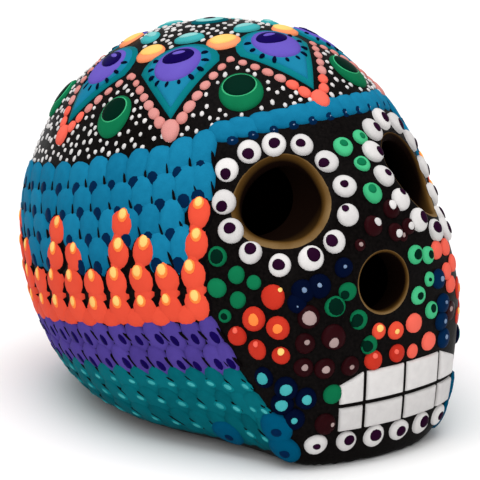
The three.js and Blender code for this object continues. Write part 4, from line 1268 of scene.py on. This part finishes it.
@dataclass
class ScaleBands:
    """Blue scales with the headband, orange flames, violet scales and teal scales, each daub with its dot."""

    head: ClayHead
    teal_bottom: float = 3.6
    teal_height: float = 11.5
    violet_height: float = 11.1
    orange_height: float = 12.2
    headband: float = 2.3
    blue_fall: float = -0.4
    orange_fall: float = -0.22
    violet_fall: float = -0.21
    teal_fall: float = -0.17
    jaw_fall: float = -0.04
    violet_lap: float = 3.6
    teal_lap: float = 9.5
    jaw_lap: float = 22.0
    face_margin: float = 0.4
    flame_width: float = 9.2
    growth: float = 0.28
    blue_width: float = 7.8
    blue_growth: float = 0.36
    brow_width: float = 4.6
    scale_width: float = 6.5
    daub_arch: float = 1.9
    flame_step: float = 6.9
    flame_lean: float = 0.28
    flame_clear: float = 2.6
    squat_turns: tuple[float, ...] = (55.0, 85.0, 120.0)
    squat_shares: tuple[float, ...] = (1.0, 0.95, 0.89)
    blue_scale: Scale = Scale(4, 1.2, 1.6, 0.5, 0.45)
    violet_scale: Scale = Scale(2, 1.06, 1.35, 0.45, 0.35)
    teal_scale: Scale = Scale(3, 1.12, 1.5, 0.4, 0.35)
    lowest_longer: float = 0.3
    # painted shade: how much darker each lower row of teal scales is
    row_shade: float = 0.16
    brow_lap: float = 0.8
    wave_turns: tuple[float, ...] = (50.0, 80.0, 115.0, 145.0, 180.0)
    wave_rises: tuple[float, ...] = (-0.8, -2.0, -0.3, 3.4, 2.0)
    face_flames: int = 2
    flames: tuple[int, ...] = (0, 1, 2)
    jaw_daubs: tuple[tuple[float, float], ...] = ((229.0, 432.0), (276.0, 428.0), (284.0, 449.0))

    def __post_init__(self) -> None:
        """Works out where the bands meet the bead rings, and their edges."""
        turn = np.linspace(0, 2 * math.pi, 241)
        radius = self.head.ring_radius + self.head.eye_bead / 2 + self.face_margin
        ring = self.head.eyes()[1].repeated(len(turn)).beside(radius * np.sin(turn), radius * np.cos(turn)).point
        self.face = float(np.arctan2(ring[:, 0], FORM.core[1] - ring[:, 1]).max())
        self.brow = float((ring[:, 2] - self.blue_fall * ring[:, 1]).max())
        violet = self.teal_bottom + self.teal_height
        orange = violet + self.violet_height
        blue = orange + self.orange_height
        self.jaw = Edge(self.teal_bottom, self.jaw_fall, self.jaw_lap)
        self.teal_top = Edge(violet, self.teal_fall, self.teal_lap)
        self.violet_top = Edge(orange, self.violet_fall, self.violet_lap)
        self.orange_top = Edge(blue, self.orange_fall)
        self.blue_top = Edge(self.brow + self.headband, self.blue_fall)

    @property
    def tips(self) -> float:
        """Level of the tips of the blue scales."""
        return self.blue_top.height + self.daub_arch

    def stray(self, turn: Array) -> Array:
        """How far the blue tips stray from their level, by the turn from the middle of the face in degrees."""
        return np.interp(turn, self.wave_turns, self.wave_rises)

    def band(self, low: Edge, high: Edge, width: float, growth: float) -> Band:
        """The band between two edges with daubs of about a width."""
        line = LevelLine(high.height, high.fall)
        daubs = round(2 * (line.half - line.distance(self.face) + high.forward) / width)
        return Band(low, high, daubs, self.face, growth)

    def flame_band(self) -> Band:
        """The band of the flames, whose columns the blue scales make room for."""
        return self.band(self.violet_top, self.orange_top, self.flame_width, self.growth)

    def flame_at(self, column: Array, columns: int) -> Array:
        """Flame steps over each column, counted from the nearer end of the band."""
        end = np.clip(np.minimum(column, columns - 1 - column), 0, None)
        return np.where(end == 0, self.face_flames, np.array(self.flames)[(end - 1) % len(self.flames)])

    @staticmethod
    def staggered(columns: int, rows: int) -> tuple[Array, Array]:
        """Columns and rows of scales, every second row half a daub along."""
        place = [np.arange(columns + r % 2) + 0.5 - 0.5 * (r % 2) for r in range(rows)]
        return np.concatenate(place), np.repeat(np.arange(rows), [len(p) for p in place])

    @staticmethod
    def shield(spokes: int) -> Array:
        """Outline of a scale in half sizes: an oval with fuller shoulders, by a power of 0.8."""
        turn = 2 * math.pi * np.arange(spokes) / spokes
        c, s = np.cos(turn), np.sin(turn)
        return np.stack([np.sign(c) * np.abs(c) ** 0.8, np.sign(s) * np.abs(s) ** 0.8], -1)

    @staticmethod
    def slits(name: str, seats: Seats, width: Array, height: Array, body: Carrier) -> None:
        """Adds thin dark strokes where scales meet.

        Args:
            name: Piece name.
            seats: Seats of the scales.
            width: Their widths.
            height: Their heights.
            body: The scales that the strokes lie on.
        """
        count = len(seats)
        stroke = seats.beside(0.46 * width, -0.1 * height).turned(RNG.uniform(-0.5, -0.2, count))
        add_paint(name, domes(stroke, RNG.uniform(0.6, 1.0, count), RNG.uniform(0.4, 0.6, count) * height, 0.12,
                              spokes=8, rings=2, lift=0.6 * body.rise + 0.6 * body.lean), Palette.INK)

    def blue(self) -> None:
        """Rows of blue scales, the lower over the upper, that leave room for the flames, and the headband."""
        scale, rows = self.blue_scale, self.blue_scale.rows
        band, flames = self.band(self.orange_top, self.blue_top, self.blue_width, self.blue_growth), self.flame_band()
        place, row = self.staggered(band.daubs, rows)
        inside = np.clip(place, 0.2, band.daubs - 0.2)
        tall = band.tall(inside)
        up = 1 + (self.daub_arch + self.stray(band.turn(inside)) * (1 - row / rows)) / tall - (0.76 + row) / rows
        column = np.arange(flames.daubs + 1)
        borders = flames.share(column + self.flame_lean * np.sign(column - flames.daubs / 2))
        beside = [np.searchsorted(borders, band.share(np.clip(place + s, 0, band.daubs))) - 1 for s in (-0.3, 0.3)]
        climb = np.minimum(*(self.flame_at(column, flames.daubs) for column in beside))
        keep = (up * tall > self.flame_step * climb - self.flame_clear) & (up > -0.12)
        place, up, tall = np.clip(place, 0.3, band.daubs - 0.3)[keep], up[keep], tall[keep]
        seats = band.seats(place, up)
        width = scale.across * band.wide(place, np.clip(up, 0, 1)) * RNG.uniform(0.97, 1.05, len(place))
        height = scale.upward * tall / rows * RNG.uniform(0.96, 1.05, len(place))
        body = Carrier(width, height, scale.rise, 0.0, scale.lean)
        outline = self.shield(16)
        # painted highlight: the blue scales grow lighter towards their tips
        scales = [domes(seats, width, height, body.rise, spokes=16, lean=body.lean, outline=outline, tint=(0.4, 0.8),
                        painted_highlight=0.35)]
        self.slits("blue_slits", seats, width, height, body)
        size = RNG.uniform(3.0, 4.2, len(place))
        dots = [domes(seats, size, size * 1.1, 0.18, spokes=10, rings=2, carrier=body,
                      shift=(RNG.uniform(-0.6, 0.6, len(place)), -0.24 * height))]
        line = LevelLine(self.blue_top.height, self.blue_top.fall)
        reach = line.distance(self.face) + 0.5
        count = round(2 * reach / self.brow_width)
        azimuth = line.azimuth(((2 * np.arange(count) + 1) / count - 1) * reach)
        hem = self.brow - self.brow_lap
        low, high = (FORM.level(level, self.blue_fall, azimuth) for level in (hem, self.tips))
        brow = Seats.at(FORM.level((hem + self.tips) / 2, self.blue_fall, azimuth), high - low)
        height = 1.06 * np.linalg.norm(high - low, axis=1)
        body = Carrier(1.6 * self.brow_width, height, 0.45, 0.0, 0.25)
        # painted highlight: the headband's scales grow lighter towards their upper ends too
        scales.append(domes(brow, body.width, height, body.rise, spokes=16, lean=body.lean, outline=outline,
                            tint=(0.4, 0.8), painted_highlight=0.3))
        shift = (0.5 * self.brow_width, -0.36 * height)
        dots.append(domes(brow, RNG.uniform(2.5, 3.3, count), 2.5, 0.15, spokes=10, rings=2, carrier=body, shift=shift))
        # painted highlights: pale blue specks on the headband's dots
        add_paint("brow_glints", domes(brow, RNG.uniform(0.3, 0.8, count), 0.5, 0.1, spokes=8, rings=2, carrier=body,
                                       lift=0.14, shift=shift), Palette.PALE_BLUE)
        add_paint("blue_scales", Surface.joined(scales), Palette.BLUE, ["blue_scale_band"])
        add_paint("blue_scale_dots", Surface.joined(dots), Palette.DEEP_BLUE)

    def orange(self) -> None:
        """Columns of orange drops in flames, joined at their waists, black under their edges, a yellow dab on each."""
        band = self.flame_band()
        column = np.arange(band.daubs)
        tall = band.tall(column + 0.5)
        flames = self.flame_at(column, band.daubs)
        count = 2 + flames
        squat = np.interp(band.turn(column + 0.5), self.squat_turns, self.squat_shares)
        full = squat * (tall + self.flame_step * flames + 0.6 * self.daub_arch)
        pick = np.repeat(column, count)
        step = np.arange(len(pick)) - np.repeat(np.cumsum(count) - count, count)
        pitch = (full / count)[pick]
        up = (step + 0.5) * pitch / tall[pick]
        ahead = self.flame_lean * np.clip(step / 2, 0, 1) * np.sign(pick + 0.5 - band.daubs / 2)
        seats = band.seats(pick + 0.5 + ahead, up)
        width = band.wide(pick + 0.5, np.clip(up, 0, 1)) * np.where(step < 2, 1.06, 1)
        width = width * RNG.uniform(0.86, 0.94, len(pick))
        height = 1.14 * pitch
        body = Carrier(width, height, 0.55, 0.3, 0.15)
        add_paint("flame_grounds", domes(seats, width + 1.0, height + 0.9, 0.3, spokes=12, lift=0.2, lean=0.15),
                  Palette.INK)
        joint = column[1:] + 0.0
        skirt = band.seats(joint, np.full(len(joint), 0.12))
        wide = band.wide(joint, np.full(len(joint), 0.1))
        over = step > 0
        waist = band.seats((pick + 0.5 + 0.7 * ahead)[over], up[over] - 0.5 * (pitch / tall[pick])[over])
        drops = [domes(seats, width, height, body.rise, spokes=14, lift=body.lift, lean=body.lean, tint=(0.7, 1.0)),
                 domes(skirt, 0.95 * wide, 0.4 * tall[1:], 0.6, spokes=14, lift=0.25, tint=(0.6, 0.9)),
                 domes(waist, np.where(step == 1, 0.8, 0.5)[over] * width[over], 0.75 * pitch[over], 0.5, spokes=14,
                       lift=0.25, tint=(0.6, 0.9), rng=WAIST_RNG)]
        add_paint("orange_flames", Surface.joined(drops), Palette.ORANGE, ["orange_flame_band"])
        size = RNG.uniform(1.9, 2.5, len(pick))
        aside = RNG.uniform(-0.6, 0.3, len(pick))
        add_paint("orange_flame_glows", domes(seats, 1.4 * size, size * 1.6, 0.12, spokes=12, rings=3, carrier=body,
                                              shift=(aside, 0.28 * height)), Palette.AMBER)
        add_paint("orange_flame_tips", domes(seats, size, size * 1.2, 0.24, spokes=10, rings=3, carrier=body,
                                             shift=(aside, 0.31 * height)), Palette.YELLOW)

    def violet(self) -> None:
        """Rows of violet scales with long indigo dabs."""
        scale, rows = self.violet_scale, self.violet_scale.rows
        band = self.band(self.teal_top, self.violet_top, self.scale_width, self.growth)
        place, row = self.staggered(band.daubs, rows)
        place = np.clip(place, 0.3, band.daubs - 0.3)
        tall = band.tall(place)
        up = 1 + 0.5 / tall - (0.6 + row) / rows
        seats = band.seats(place, up)
        width = scale.across * band.wide(place, up) * RNG.uniform(0.95, 1.05, len(place))
        height = scale.upward * tall / rows
        body = Carrier(width, height, scale.rise, 0.0, scale.lean)
        scales = domes(seats, width, height, body.rise, spokes=14, lean=body.lean, outline=self.shield(14))
        add_paint("violet_scales", scales, Palette.VIOLET, ["violet_scale_band"])
        self.slits("violet_slits", seats, width, height, body)
        size = RNG.uniform(1.9, 2.4, len(place))
        add_paint("violet_scale_dots", domes(
            seats.turned(-0.2), size, size * 1.75, 0.18, spokes=10, rings=2, carrier=body,
            shift=(RNG.uniform(-0.8, 0.8, len(place)), -0.12 * height)), Palette.INDIGO)

    def teal(self) -> None:
        """Rows of teal scales round the jaw with slanted light dabs, each lower row darker as painted shade, a dark
        hem, and blue daubs at the chin.
        """
        scale, rows = self.teal_scale, self.teal_scale.rows
        band = self.band(self.jaw, self.teal_top, self.scale_width, self.growth)
        place, row = self.staggered(band.daubs, rows)
        place = np.clip(place, 0.3, band.daubs - 0.3)
        tall = band.tall(place)
        lowest = row == rows - 1
        up = 1 + (0.8 - 0.7 * lowest) / tall - (0.6 + row) / rows
        seats = band.seats(place, up)
        width = scale.across * band.wide(place, up) * RNG.uniform(0.95, 1.06, len(place))
        height = (scale.upward + self.lowest_longer * lowest) * tall / rows
        body = Carrier(width, height, scale.rise, 0.0, scale.lean)
        scales = domes(seats, width, height, body.rise, spokes=14, lean=body.lean, outline=self.shield(14))
        # painted shade: each lower row of scales is tinted darker
        scales.marks["tint"] -= self.row_shade * np.repeat(row, len(scales.points) // len(row))
        joint = np.clip(np.arange(band.daubs + 1), 0.3, band.daubs - 0.3)
        low = np.full(len(joint), 0.06)
        hem = domes(band.seats(joint, low), 1.15 * band.wide(joint, low), 0.5 * band.tall(joint), 0.35, spokes=14,
                    tint=(0.0, 0.3))
        add_paint("teal_scales", Surface.joined([scales, hem]), Palette.TEAL, ["teal_scale_band"])
        self.slits("teal_slits", seats, width, height, body)
        size = RNG.uniform(1.0, 1.4, len(place))
        slanted, shift = seats.turned(-0.6), (RNG.uniform(0.4, 1.2, len(place)), -0.22 * height)
        add_paint("teal_scale_glows", domes(slanted, 2.0 * size, 3.2 * size, 0.12, spokes=10, rings=2, lift=0.5,
                                            shift=shift), Palette.BRIGHT_TEAL)
        add_paint("teal_scale_dots", domes(slanted, size, 2.0 * size, 0.16, spokes=10, rings=2, lift=0.58, shift=shift,
                                           tint=(0.1, 1.0)), Palette.LIGHT_TEAL)
        near = VIEW.seats(self.jaw_daubs)
        jaw = Seats.together([near, near.mirrored()])
        body = Carrier(8.0, 8.6, 0.7, 0.4)
        add_paint("jaw_daubs", domes(jaw, body.width, body.height, body.rise, spokes=18, rings=4, lift=body.lift),
                  Palette.JAW_BLUE)
        add_paint("jaw_dots", domes(jaw, 2.8, 2.6, 0.2, spokes=10, rings=2, carrier=body, shift=(0.4, -0.6)),
                  Palette.DEEP_BLUE)

    def build(self) -> None:
        """Adds the four bands."""
        self.blue()
        self.orange()
        self.violet()
        self.teal()


@dataclass
class Crown:
    """Six-fold rosette on the crown: layered petals, green ovals between them, and fields of dots."""

    bands: ScaleBands
    tilt: float = math.radians(20.0)
    folds: int = 6
    petal_start: float = 17.0
    petal_margin: float = 4.0
    petal_space: float = 7.0
    petal_waist: float = -0.35
    petal_border: float = 1.6
    leaf_width: float = 10.2
    leaf_length: float = 10.8
    leaf_margin: float = 1.8
    button: float = 9.0
    yellow_reach: float = 19.1
    teal_reach: float = 14.0
    oval_reach: float = 25.4
    oval_size: tuple[float, float] = (11.8, 11.4)
    eye_size: tuple[float, float] = (8.2, 5.2)
    glint_size: tuple[float, float] = (4.2, 1.5)
    yellow_size: tuple[float, float] = (8.4, 6.4)
    yellow_top: tuple[float, float] = (6.6, 4.6)
    teal_size: tuple[float, float] = (7.4, 4.8)
    # size of the painted highlight on each teal oval
    teal_top: tuple[float, float] = (4.8, 2.4)
    coral_sizes: tuple[float, float] = (3.2, 1.9)
    corals: int = 7
    tip_dot: float = 5.2
    ticks: int = 10
    tick_turn: float = 115.0
    tick_across: float = 6.6
    tick_along: float = 6.4
    white_tries: int = 11000
    white_space: float = 1.8
    white_reach: tuple[float, float] = (6.0, 60.0)
    brow_end: float = 54.0

    def __post_init__(self) -> None:
        """Finds the axis, its radius and the reach to the tips of the blue scales."""
        self.axis = np.array([0.0, math.sin(self.tilt), math.cos(self.tilt)])
        self.front = np.array([0.0, -math.cos(self.tilt), math.sin(self.tilt)])
        self.side = np.array([1.0, 0.0, 0.0])
        core = np.array(FORM.core)
        self.radius = float(np.linalg.norm(FORM.along(core, self.axis) - core))
        tips = FORM.level(self.bands.tips, self.bands.blue_fall, np.linspace(0, math.pi, 241)) - core
        self.reach = float(self.radius * np.arccos((unit(tips) @ self.axis).max()))

    @property
    def turns(self) -> Array:
        """Turns of the petals."""
        return 2 * math.pi * np.arange(self.folds) / self.folds

    @property
    def half_fold(self) -> float:
        """Turn from a petal to the leaf beside it."""
        return math.pi / self.folds

    @property
    def petal_length(self) -> float:
        """Length of a petal along the skin."""
        return self.reach - self.petal_margin - self.petal_start

    @property
    def petal_middle(self) -> float:
        """Reach of a petal's middle."""
        return self.petal_start + self.petal_length / 2

    @property
    def petal_width(self) -> float:
        """Width of a petal, from the room between two of them."""
        room = 2 * self.radius * math.sin(self.petal_middle / self.radius) * math.sin(self.half_fold)
        return room - self.petal_space

    @property
    def leaf_reach(self) -> float:
        """Reach of a leaf's middle."""
        return self.reach - self.leaf_margin - self.leaf_length / 2

    def points(self, turn: Array, reach: Array) -> Array:
        """Points on the crown by turn from the front and by reach from its top along the skin."""
        turn, reach = np.broadcast_arrays(turn, reach)
        angle = reach / self.radius
        flat = np.cos(turn)[..., None] * self.front + np.sin(turn)[..., None] * self.side
        away = np.cos(angle)[..., None] * self.axis + np.sin(angle)[..., None] * flat
        return FORM.along(np.array(FORM.core), away)

    def seats(self, turn: Array, reach: Array | float) -> Seats:
        """Seats whose up points away from the top of the crown."""
        turn = np.atleast_1d(turn)
        outward = self.points(turn, np.add(reach, 0.5)) - self.points(turn, np.add(reach, -0.5))
        return Seats.at(self.points(turn, reach), outward)

    def kite(self, sides: int) -> Array:
        """Outline of a petal in half sizes: straight sides from the point to the waist, then half an ellipse.

        Args:
            sides: Points of the outline.

        Returns:
            Points anticlockwise from the petal's point, shape (sides, 2).
        """
        turn = 2 * math.pi * np.arange(sides) / sides
        near = np.minimum(turn, 2 * math.pi - turn)
        down = np.clip(near / (2 * math.pi / 3), 0, 1)
        bend = np.clip((near - 2 * math.pi / 3) * 1.5, 0, 0.5 * math.pi)
        x = down * np.cos(bend) * np.where(turn < math.pi, -1, 1)
        y = 1 - (1 - self.petal_waist) * down - (1 + self.petal_waist) * np.sin(bend)
        return np.stack([x, y], -1)

    def petals(self) -> None:
        """Petals in layers: teal kite, cyan kite, violet oval with navy ticks round it, and indigo eye with a painted
        highlight on it.
        """
        seats = self.seats(self.turns, self.petal_middle)
        width, length, border = self.petal_width, self.petal_length, self.petal_border
        kite = self.kite(36)
        nodes = [f"crown_petal_{i + 1}" for i in range(self.folds)]
        add_paint("petals", domes(seats, width, length, 0.55, spokes=36, rings=5, outline=kite, wobble=0.0),
                  Palette.BRIGHT_TEAL, nodes)
        add_paint("petal_hearts", domes(seats, width - 2.4 * border, length - 2.6 * border, 0.55, spokes=36, rings=5,
                                        outline=kite, shift=(0.0, -0.5 * border), lift=0.3, wobble=0.0), Palette.CYAN)
        oval = self.oval_reach - self.petal_middle
        add_paint("petal_ovals", domes(seats, *self.oval_size, 0.5, spokes=28, rings=5, shift=(0.0, oval), lift=0.72,
                                       wobble=0.02), Palette.LILAC)
        add_paint("petal_eyes", domes(seats, *self.eye_size, 0.35, spokes=24, rings=4, lift=1.12,
                                      shift=(0.0, oval - 1.9), wobble=0.02), Palette.INDIGO)
        # painted highlight: a pale lilac dab on each indigo eye
        add_paint("petal_glints", domes(seats, *self.glint_size, 0.12, spokes=12, rings=2, shift=(0.0, oval - 2.9),
                                        lift=1.4), Palette.LILAC)
        ticks = np.tile(np.radians(np.linspace(-self.tick_turn, self.tick_turn, self.ticks)), self.folds)
        across, along = self.tick_across * np.sin(ticks), oval + self.tick_along * np.cos(ticks)
        many = seats.repeated(self.ticks).beside(across, along).turned(ticks)
        add_paint("petal_ticks", domes(many, RNG.uniform(0.9, 1.3, len(many)), RNG.uniform(1.7, 2.6, len(many)), 0.15,
                                       spokes=8, rings=2, lift=0.78), Palette.NAVY)

    def leaves(self) -> None:
        """Green ovals between the petals with a dark inner part and a thin pale line round it."""
        seats = self.seats(self.turns + self.half_fold, self.leaf_reach)
        body = Carrier(self.leaf_width, self.leaf_length, 1.1)
        nodes = [f"crown_leaf_{i + 1}" for i in range(self.folds)]
        add_paint("leaves", domes(seats, body.width, body.height, body.rise, spokes=28, rings=6, wobble=0.015),
                  Palette.GREEN, nodes)
        shift = (0.0, -0.13 * self.leaf_length)
        add_paint("leaf_lines", domes(seats, 0.82 * self.leaf_width, 0.66 * self.leaf_length, 0.08, spokes=24, rings=4,
                                      shift=shift, carrier=body, wobble=0.01), Palette.MINT)
        add_paint("leaf_hearts", domes(seats, 0.77 * self.leaf_width, 0.61 * self.leaf_length, 0.16, spokes=24, rings=4,
                                       shift=shift, carrier=body, wobble=0.01), Palette.DARK_GREEN)

    def rosette(self) -> None:
        """The button and the rings of ovals round it: light teal at the petals, each with a painted highlight in aqua,
        and yellow between them.
        """
        top = self.seats(np.zeros(1), 0.001)
        body = Carrier(self.button, self.button, 0.5)
        add_paint("button", domes(top, body.width, body.height, body.rise, spokes=28, rings=5, wobble=0.01),
                  Palette.TEAL, ["crown_button"])
        add_paint("button_ring", domes(top, 6.8, 6.8, 0.15, spokes=24, rings=4, carrier=body, wobble=0.01),
                  Palette.AQUA)
        add_paint("button_eye", domes(top, 3.0, 3.0, 0.28, spokes=18, rings=4, carrier=body), Palette.PLUM)
        between = self.seats(self.turns + self.half_fold, self.yellow_reach)
        inner = self.seats(self.turns, self.teal_reach)
        # painted highlight: the aqua dab on each light teal oval
        rings = (("yellow_ovals", between, self.yellow_size, self.yellow_top, 20, 0.0, Palette.PEACH, Palette.YELLOW),
                 ("teal_ovals", inner, self.teal_size, self.teal_top, 18, 0.3, Palette.LIGHT_TEAL, Palette.AQUA))
        for name, seats, size, light, spokes, aside, base, paint in rings:
            body = Carrier(*size, 0.8)
            add_paint(f"{name}_base", domes(seats, *size, body.rise, spokes=20, rings=4), base)
            add_paint(name, domes(seats, *light, 0.2, spokes=spokes, rings=4, shift=(aside, -0.7), carrier=body), paint)

    def coral(self) -> Seats:
        """Coral dots along the petals' sides, growing towards the point, where every second petal's dots near the point
        are salmon.

        Returns:
            Seats of the dots, for the white dots to keep clear of.
        """
        side = np.array([self.petal_width, -(1 - self.petal_waist) * self.petal_length]) / 2
        out = np.array([-side[1], side[0]]) / np.linalg.norm(side)
        f = np.linspace(0.08, 1.08, self.corals)
        size = np.linspace(*self.coral_sizes, len(f))
        x = f * side[0] + (0.8 + size / 2) * out[0]
        y = self.petal_length / 2 + f * side[1] + (0.8 + size / 2) * out[1]
        x, y = np.concatenate([x, -x, [0.0]]), np.concatenate([y, y, [self.petal_length / 2 + 2.8]])
        size = np.tile(np.concatenate([size, size, [self.tip_dot]]), self.folds)
        slope = math.atan2(side[0], -side[1]) * np.repeat([-1.0, 1.0, 0.0], [len(f), len(f), 1])
        middle = self.seats(self.turns, self.petal_middle).repeated(len(x))
        seats = middle.beside(np.tile(x, self.folds), np.tile(y, self.folds)).turned(np.tile(slope, self.folds))
        size = size * RNG.uniform(0.9, 1.05, len(seats))
        point = np.tile(np.concatenate([f, f, [0.0]]) < 0.3, self.folds)
        salmon = point & (np.repeat(np.arange(self.folds), len(x)) % 2 == 0)
        for name, paint, pick in (("coral_dots", Palette.CORAL, ~salmon), ("salmon_dots", Palette.SALMON, salmon)):
            s = size[pick]
            add_paint(name, domes(seats.only(pick), 0.95 * s, 1.15 * s, 0.22 * s, spokes=12, rings=3), paint)
        return seats

    def on_petal(self, turn: Array, reach: Array, margin: float) -> Array:
        """Tells which places lie on a petal or within a margin of it."""
        aside = (turn + self.half_fold) % (2 * self.half_fold) - self.half_fold
        across = np.abs(self.radius * np.sin(reach / self.radius) * aside)
        y = (reach - self.petal_middle) / (self.petal_length / 2)
        outer = (1 - y) / (1 - self.petal_waist)
        inner = np.sqrt(np.clip(1 - ((y - self.petal_waist) / (1 + self.petal_waist)) ** 2, 0, None))
        half = np.where(y > self.petal_waist, outer, inner) * self.petal_width / 2
        return (across < half + margin) & (np.abs(reach - self.petal_middle) < self.petal_length / 2 + margin)

    def white_dots(self, coral: Seats) -> None:
        """Fine white dots scattered over the black ground, clear of everything else.

        Random places are thinned by priority: a place stays where no better one lies within the spacing.

        Args:
            coral: The coral dots.
        """
        turn = RNG.uniform(0, 2 * math.pi, self.white_tries)
        near, far = (math.cos(r / self.radius) for r in self.white_reach)
        reach = self.radius * np.arccos(RNG.uniform(far, near, self.white_tries))
        spots = self.points(turn, reach)
        azimuth = np.degrees(np.abs(np.arctan2(spots[:, 0], FORM.core[1] - spots[:, 1])))
        tips = self.bands.tips + np.where(azimuth > self.brow_end, self.bands.stray(azimuth), 0)
        clear = spots[:, 2] - self.bands.blue_fall * spots[:, 1] > tips + 0.3
        clear &= ~self.on_petal(turn, reach, 2.6)
        fields = ((self.seats(self.turns + self.half_fold, self.leaf_reach), 0.5 * self.leaf_length + 0.6),
                  (self.seats(self.turns + self.half_fold, self.yellow_reach), 4.4),
                  (self.seats(self.turns, self.teal_reach), 3.9),
                  (self.seats(np.zeros(1), 0.001), 0.5 * self.button + 0.9), (coral, 1.9))
        for seats, size in fields:
            clear &= np.linalg.norm(spots[:, None] - seats.point[None], axis=-1).min(1) > size
        spots = spots[clear]
        close = np.linalg.norm(spots[:, None] - spots[None], axis=-1) < self.white_space
        better = np.tri(len(spots), k=-1, dtype=bool)
        alive, kept = np.ones(len(spots), bool), np.zeros(len(spots), bool)
        for _ in range(12):
            best = alive & ~(close & better & alive[None]).any(1)
            kept |= best
            alive &= ~(close & best[None]).any(1)
        seats = Seats.at(spots[kept])
        size = RNG.uniform(1.0, 1.35, len(seats))
        long = size * RNG.uniform(0.95, 1.5, len(seats))
        add_paint("white_dots", domes(seats, size, long, 0.3, spokes=7, rings=2), Palette.WHITE)

    def build(self) -> None:
        """Adds the rosette and its dots."""
        self.petals()
        self.leaves()
        self.rosette()
        self.white_dots(self.coral())


@dataclass
class Studio:
    """Pale floor, soft lights and the camera."""

    floor: float = 12.0
    floor_gap: float = 0.0002
    tone: tuple[float, float, float] = (0.92, 0.92, 0.92)
    aim: tuple[float, float, float] = (0.0, 0.0, 0.045)
    sky: float = 0.5

    def ground(self) -> None:
        """The floor, a little below the base."""
        half, below = self.floor / 2, -self.floor_gap
        mesh = bpy.data.meshes.new("floor")
        corners = [(-half, -half, below), (half, -half, below), (half, half, below), (-half, half, below)]
        mesh.from_pydata(corners, [], [(0, 1, 2, 3)])
        nodes = Nodes("floor")
        nodes.into("Base Color", nodes.mix(nodes.noise(3.0), self.tone, [c * 0.99 for c in self.tone]))
        nodes.set("Roughness", 0.9)
        nodes.set("Specular IOR Level", 0.0)
        mesh.materials.append(nodes.material)
        floor = bpy.data.objects.new("floor", mesh)
        bpy.context.scene.collection.objects.link(floor)

    def light(self, name: str, place: tuple[float, float, float], size: float, power: float) -> None:
        """A square soft light that looks at the skull.

        Args:
            name: Light name.
            place: Where it stands, in metres.
            size: Side of the square, in metres.
            power: Watts.
        """
        lamp = bpy.data.lights.new(name, "AREA")
        lamp.size, lamp.energy = size, power
        light = bpy.data.objects.new(name, lamp)
        light.location = place
        light.rotation_euler = (Vector(self.aim) - Vector(place)).to_track_quat("-Z", "Y").to_euler()
        bpy.context.scene.collection.objects.link(light)

    def camera(self) -> None:
        """The camera at the photograph's view."""
        right, up, back = VIEW.axes()
        data = bpy.data.cameras.new("camera")
        data.sensor_width = VIEW.sensor
        data.lens = VIEW.scale * VIEW.distance * VIEW.sensor / VIEW.frame_size
        data.clip_start, data.clip_end = 0.05, 50.0
        camera = bpy.data.objects.new("camera", data)
        turn = Matrix(np.stack([right, up, back], 1).tolist()).to_4x4()
        camera.matrix_world = Matrix.Translation(VIEW.eye() * MM) @ turn
        bpy.context.scene.collection.objects.link(camera)
        bpy.context.scene.camera = camera

    def build(self) -> None:
        """Adds the floor, the lights, the grey world and the camera."""
        self.ground()
        self.light("overhead", (-0.15, -0.1, 1.5), 1.6, 23.0)
        self.light("fill", (-0.9, -1.1, 0.7), 0.9, 6.0)
        world = bpy.data.worlds.new("studio")
        world.use_nodes = True
        sky = world.node_tree.nodes["Background"]
        sky.inputs["Color"].default_value = (1.0, 1.0, 1.0, 1.0)
        sky.inputs["Strength"].default_value = self.sky
        bpy.context.scene.world = world
        bpy.context.scene.view_settings.view_transform = "Standard"
        self.camera()


def main() -> None:
    """Builds the studio, the clay head, its face, the bands and the crown, in that order."""
    logging.basicConfig(level=logging.INFO, format="%(name)s %(message)s")
    Studio().build()
    head = ClayHead()
    head.build()
    Face(head).build()
    bands = ScaleBands(head)
    bands.build()
    Crown(bands).build()


if __name__ == "__main__":
    main()
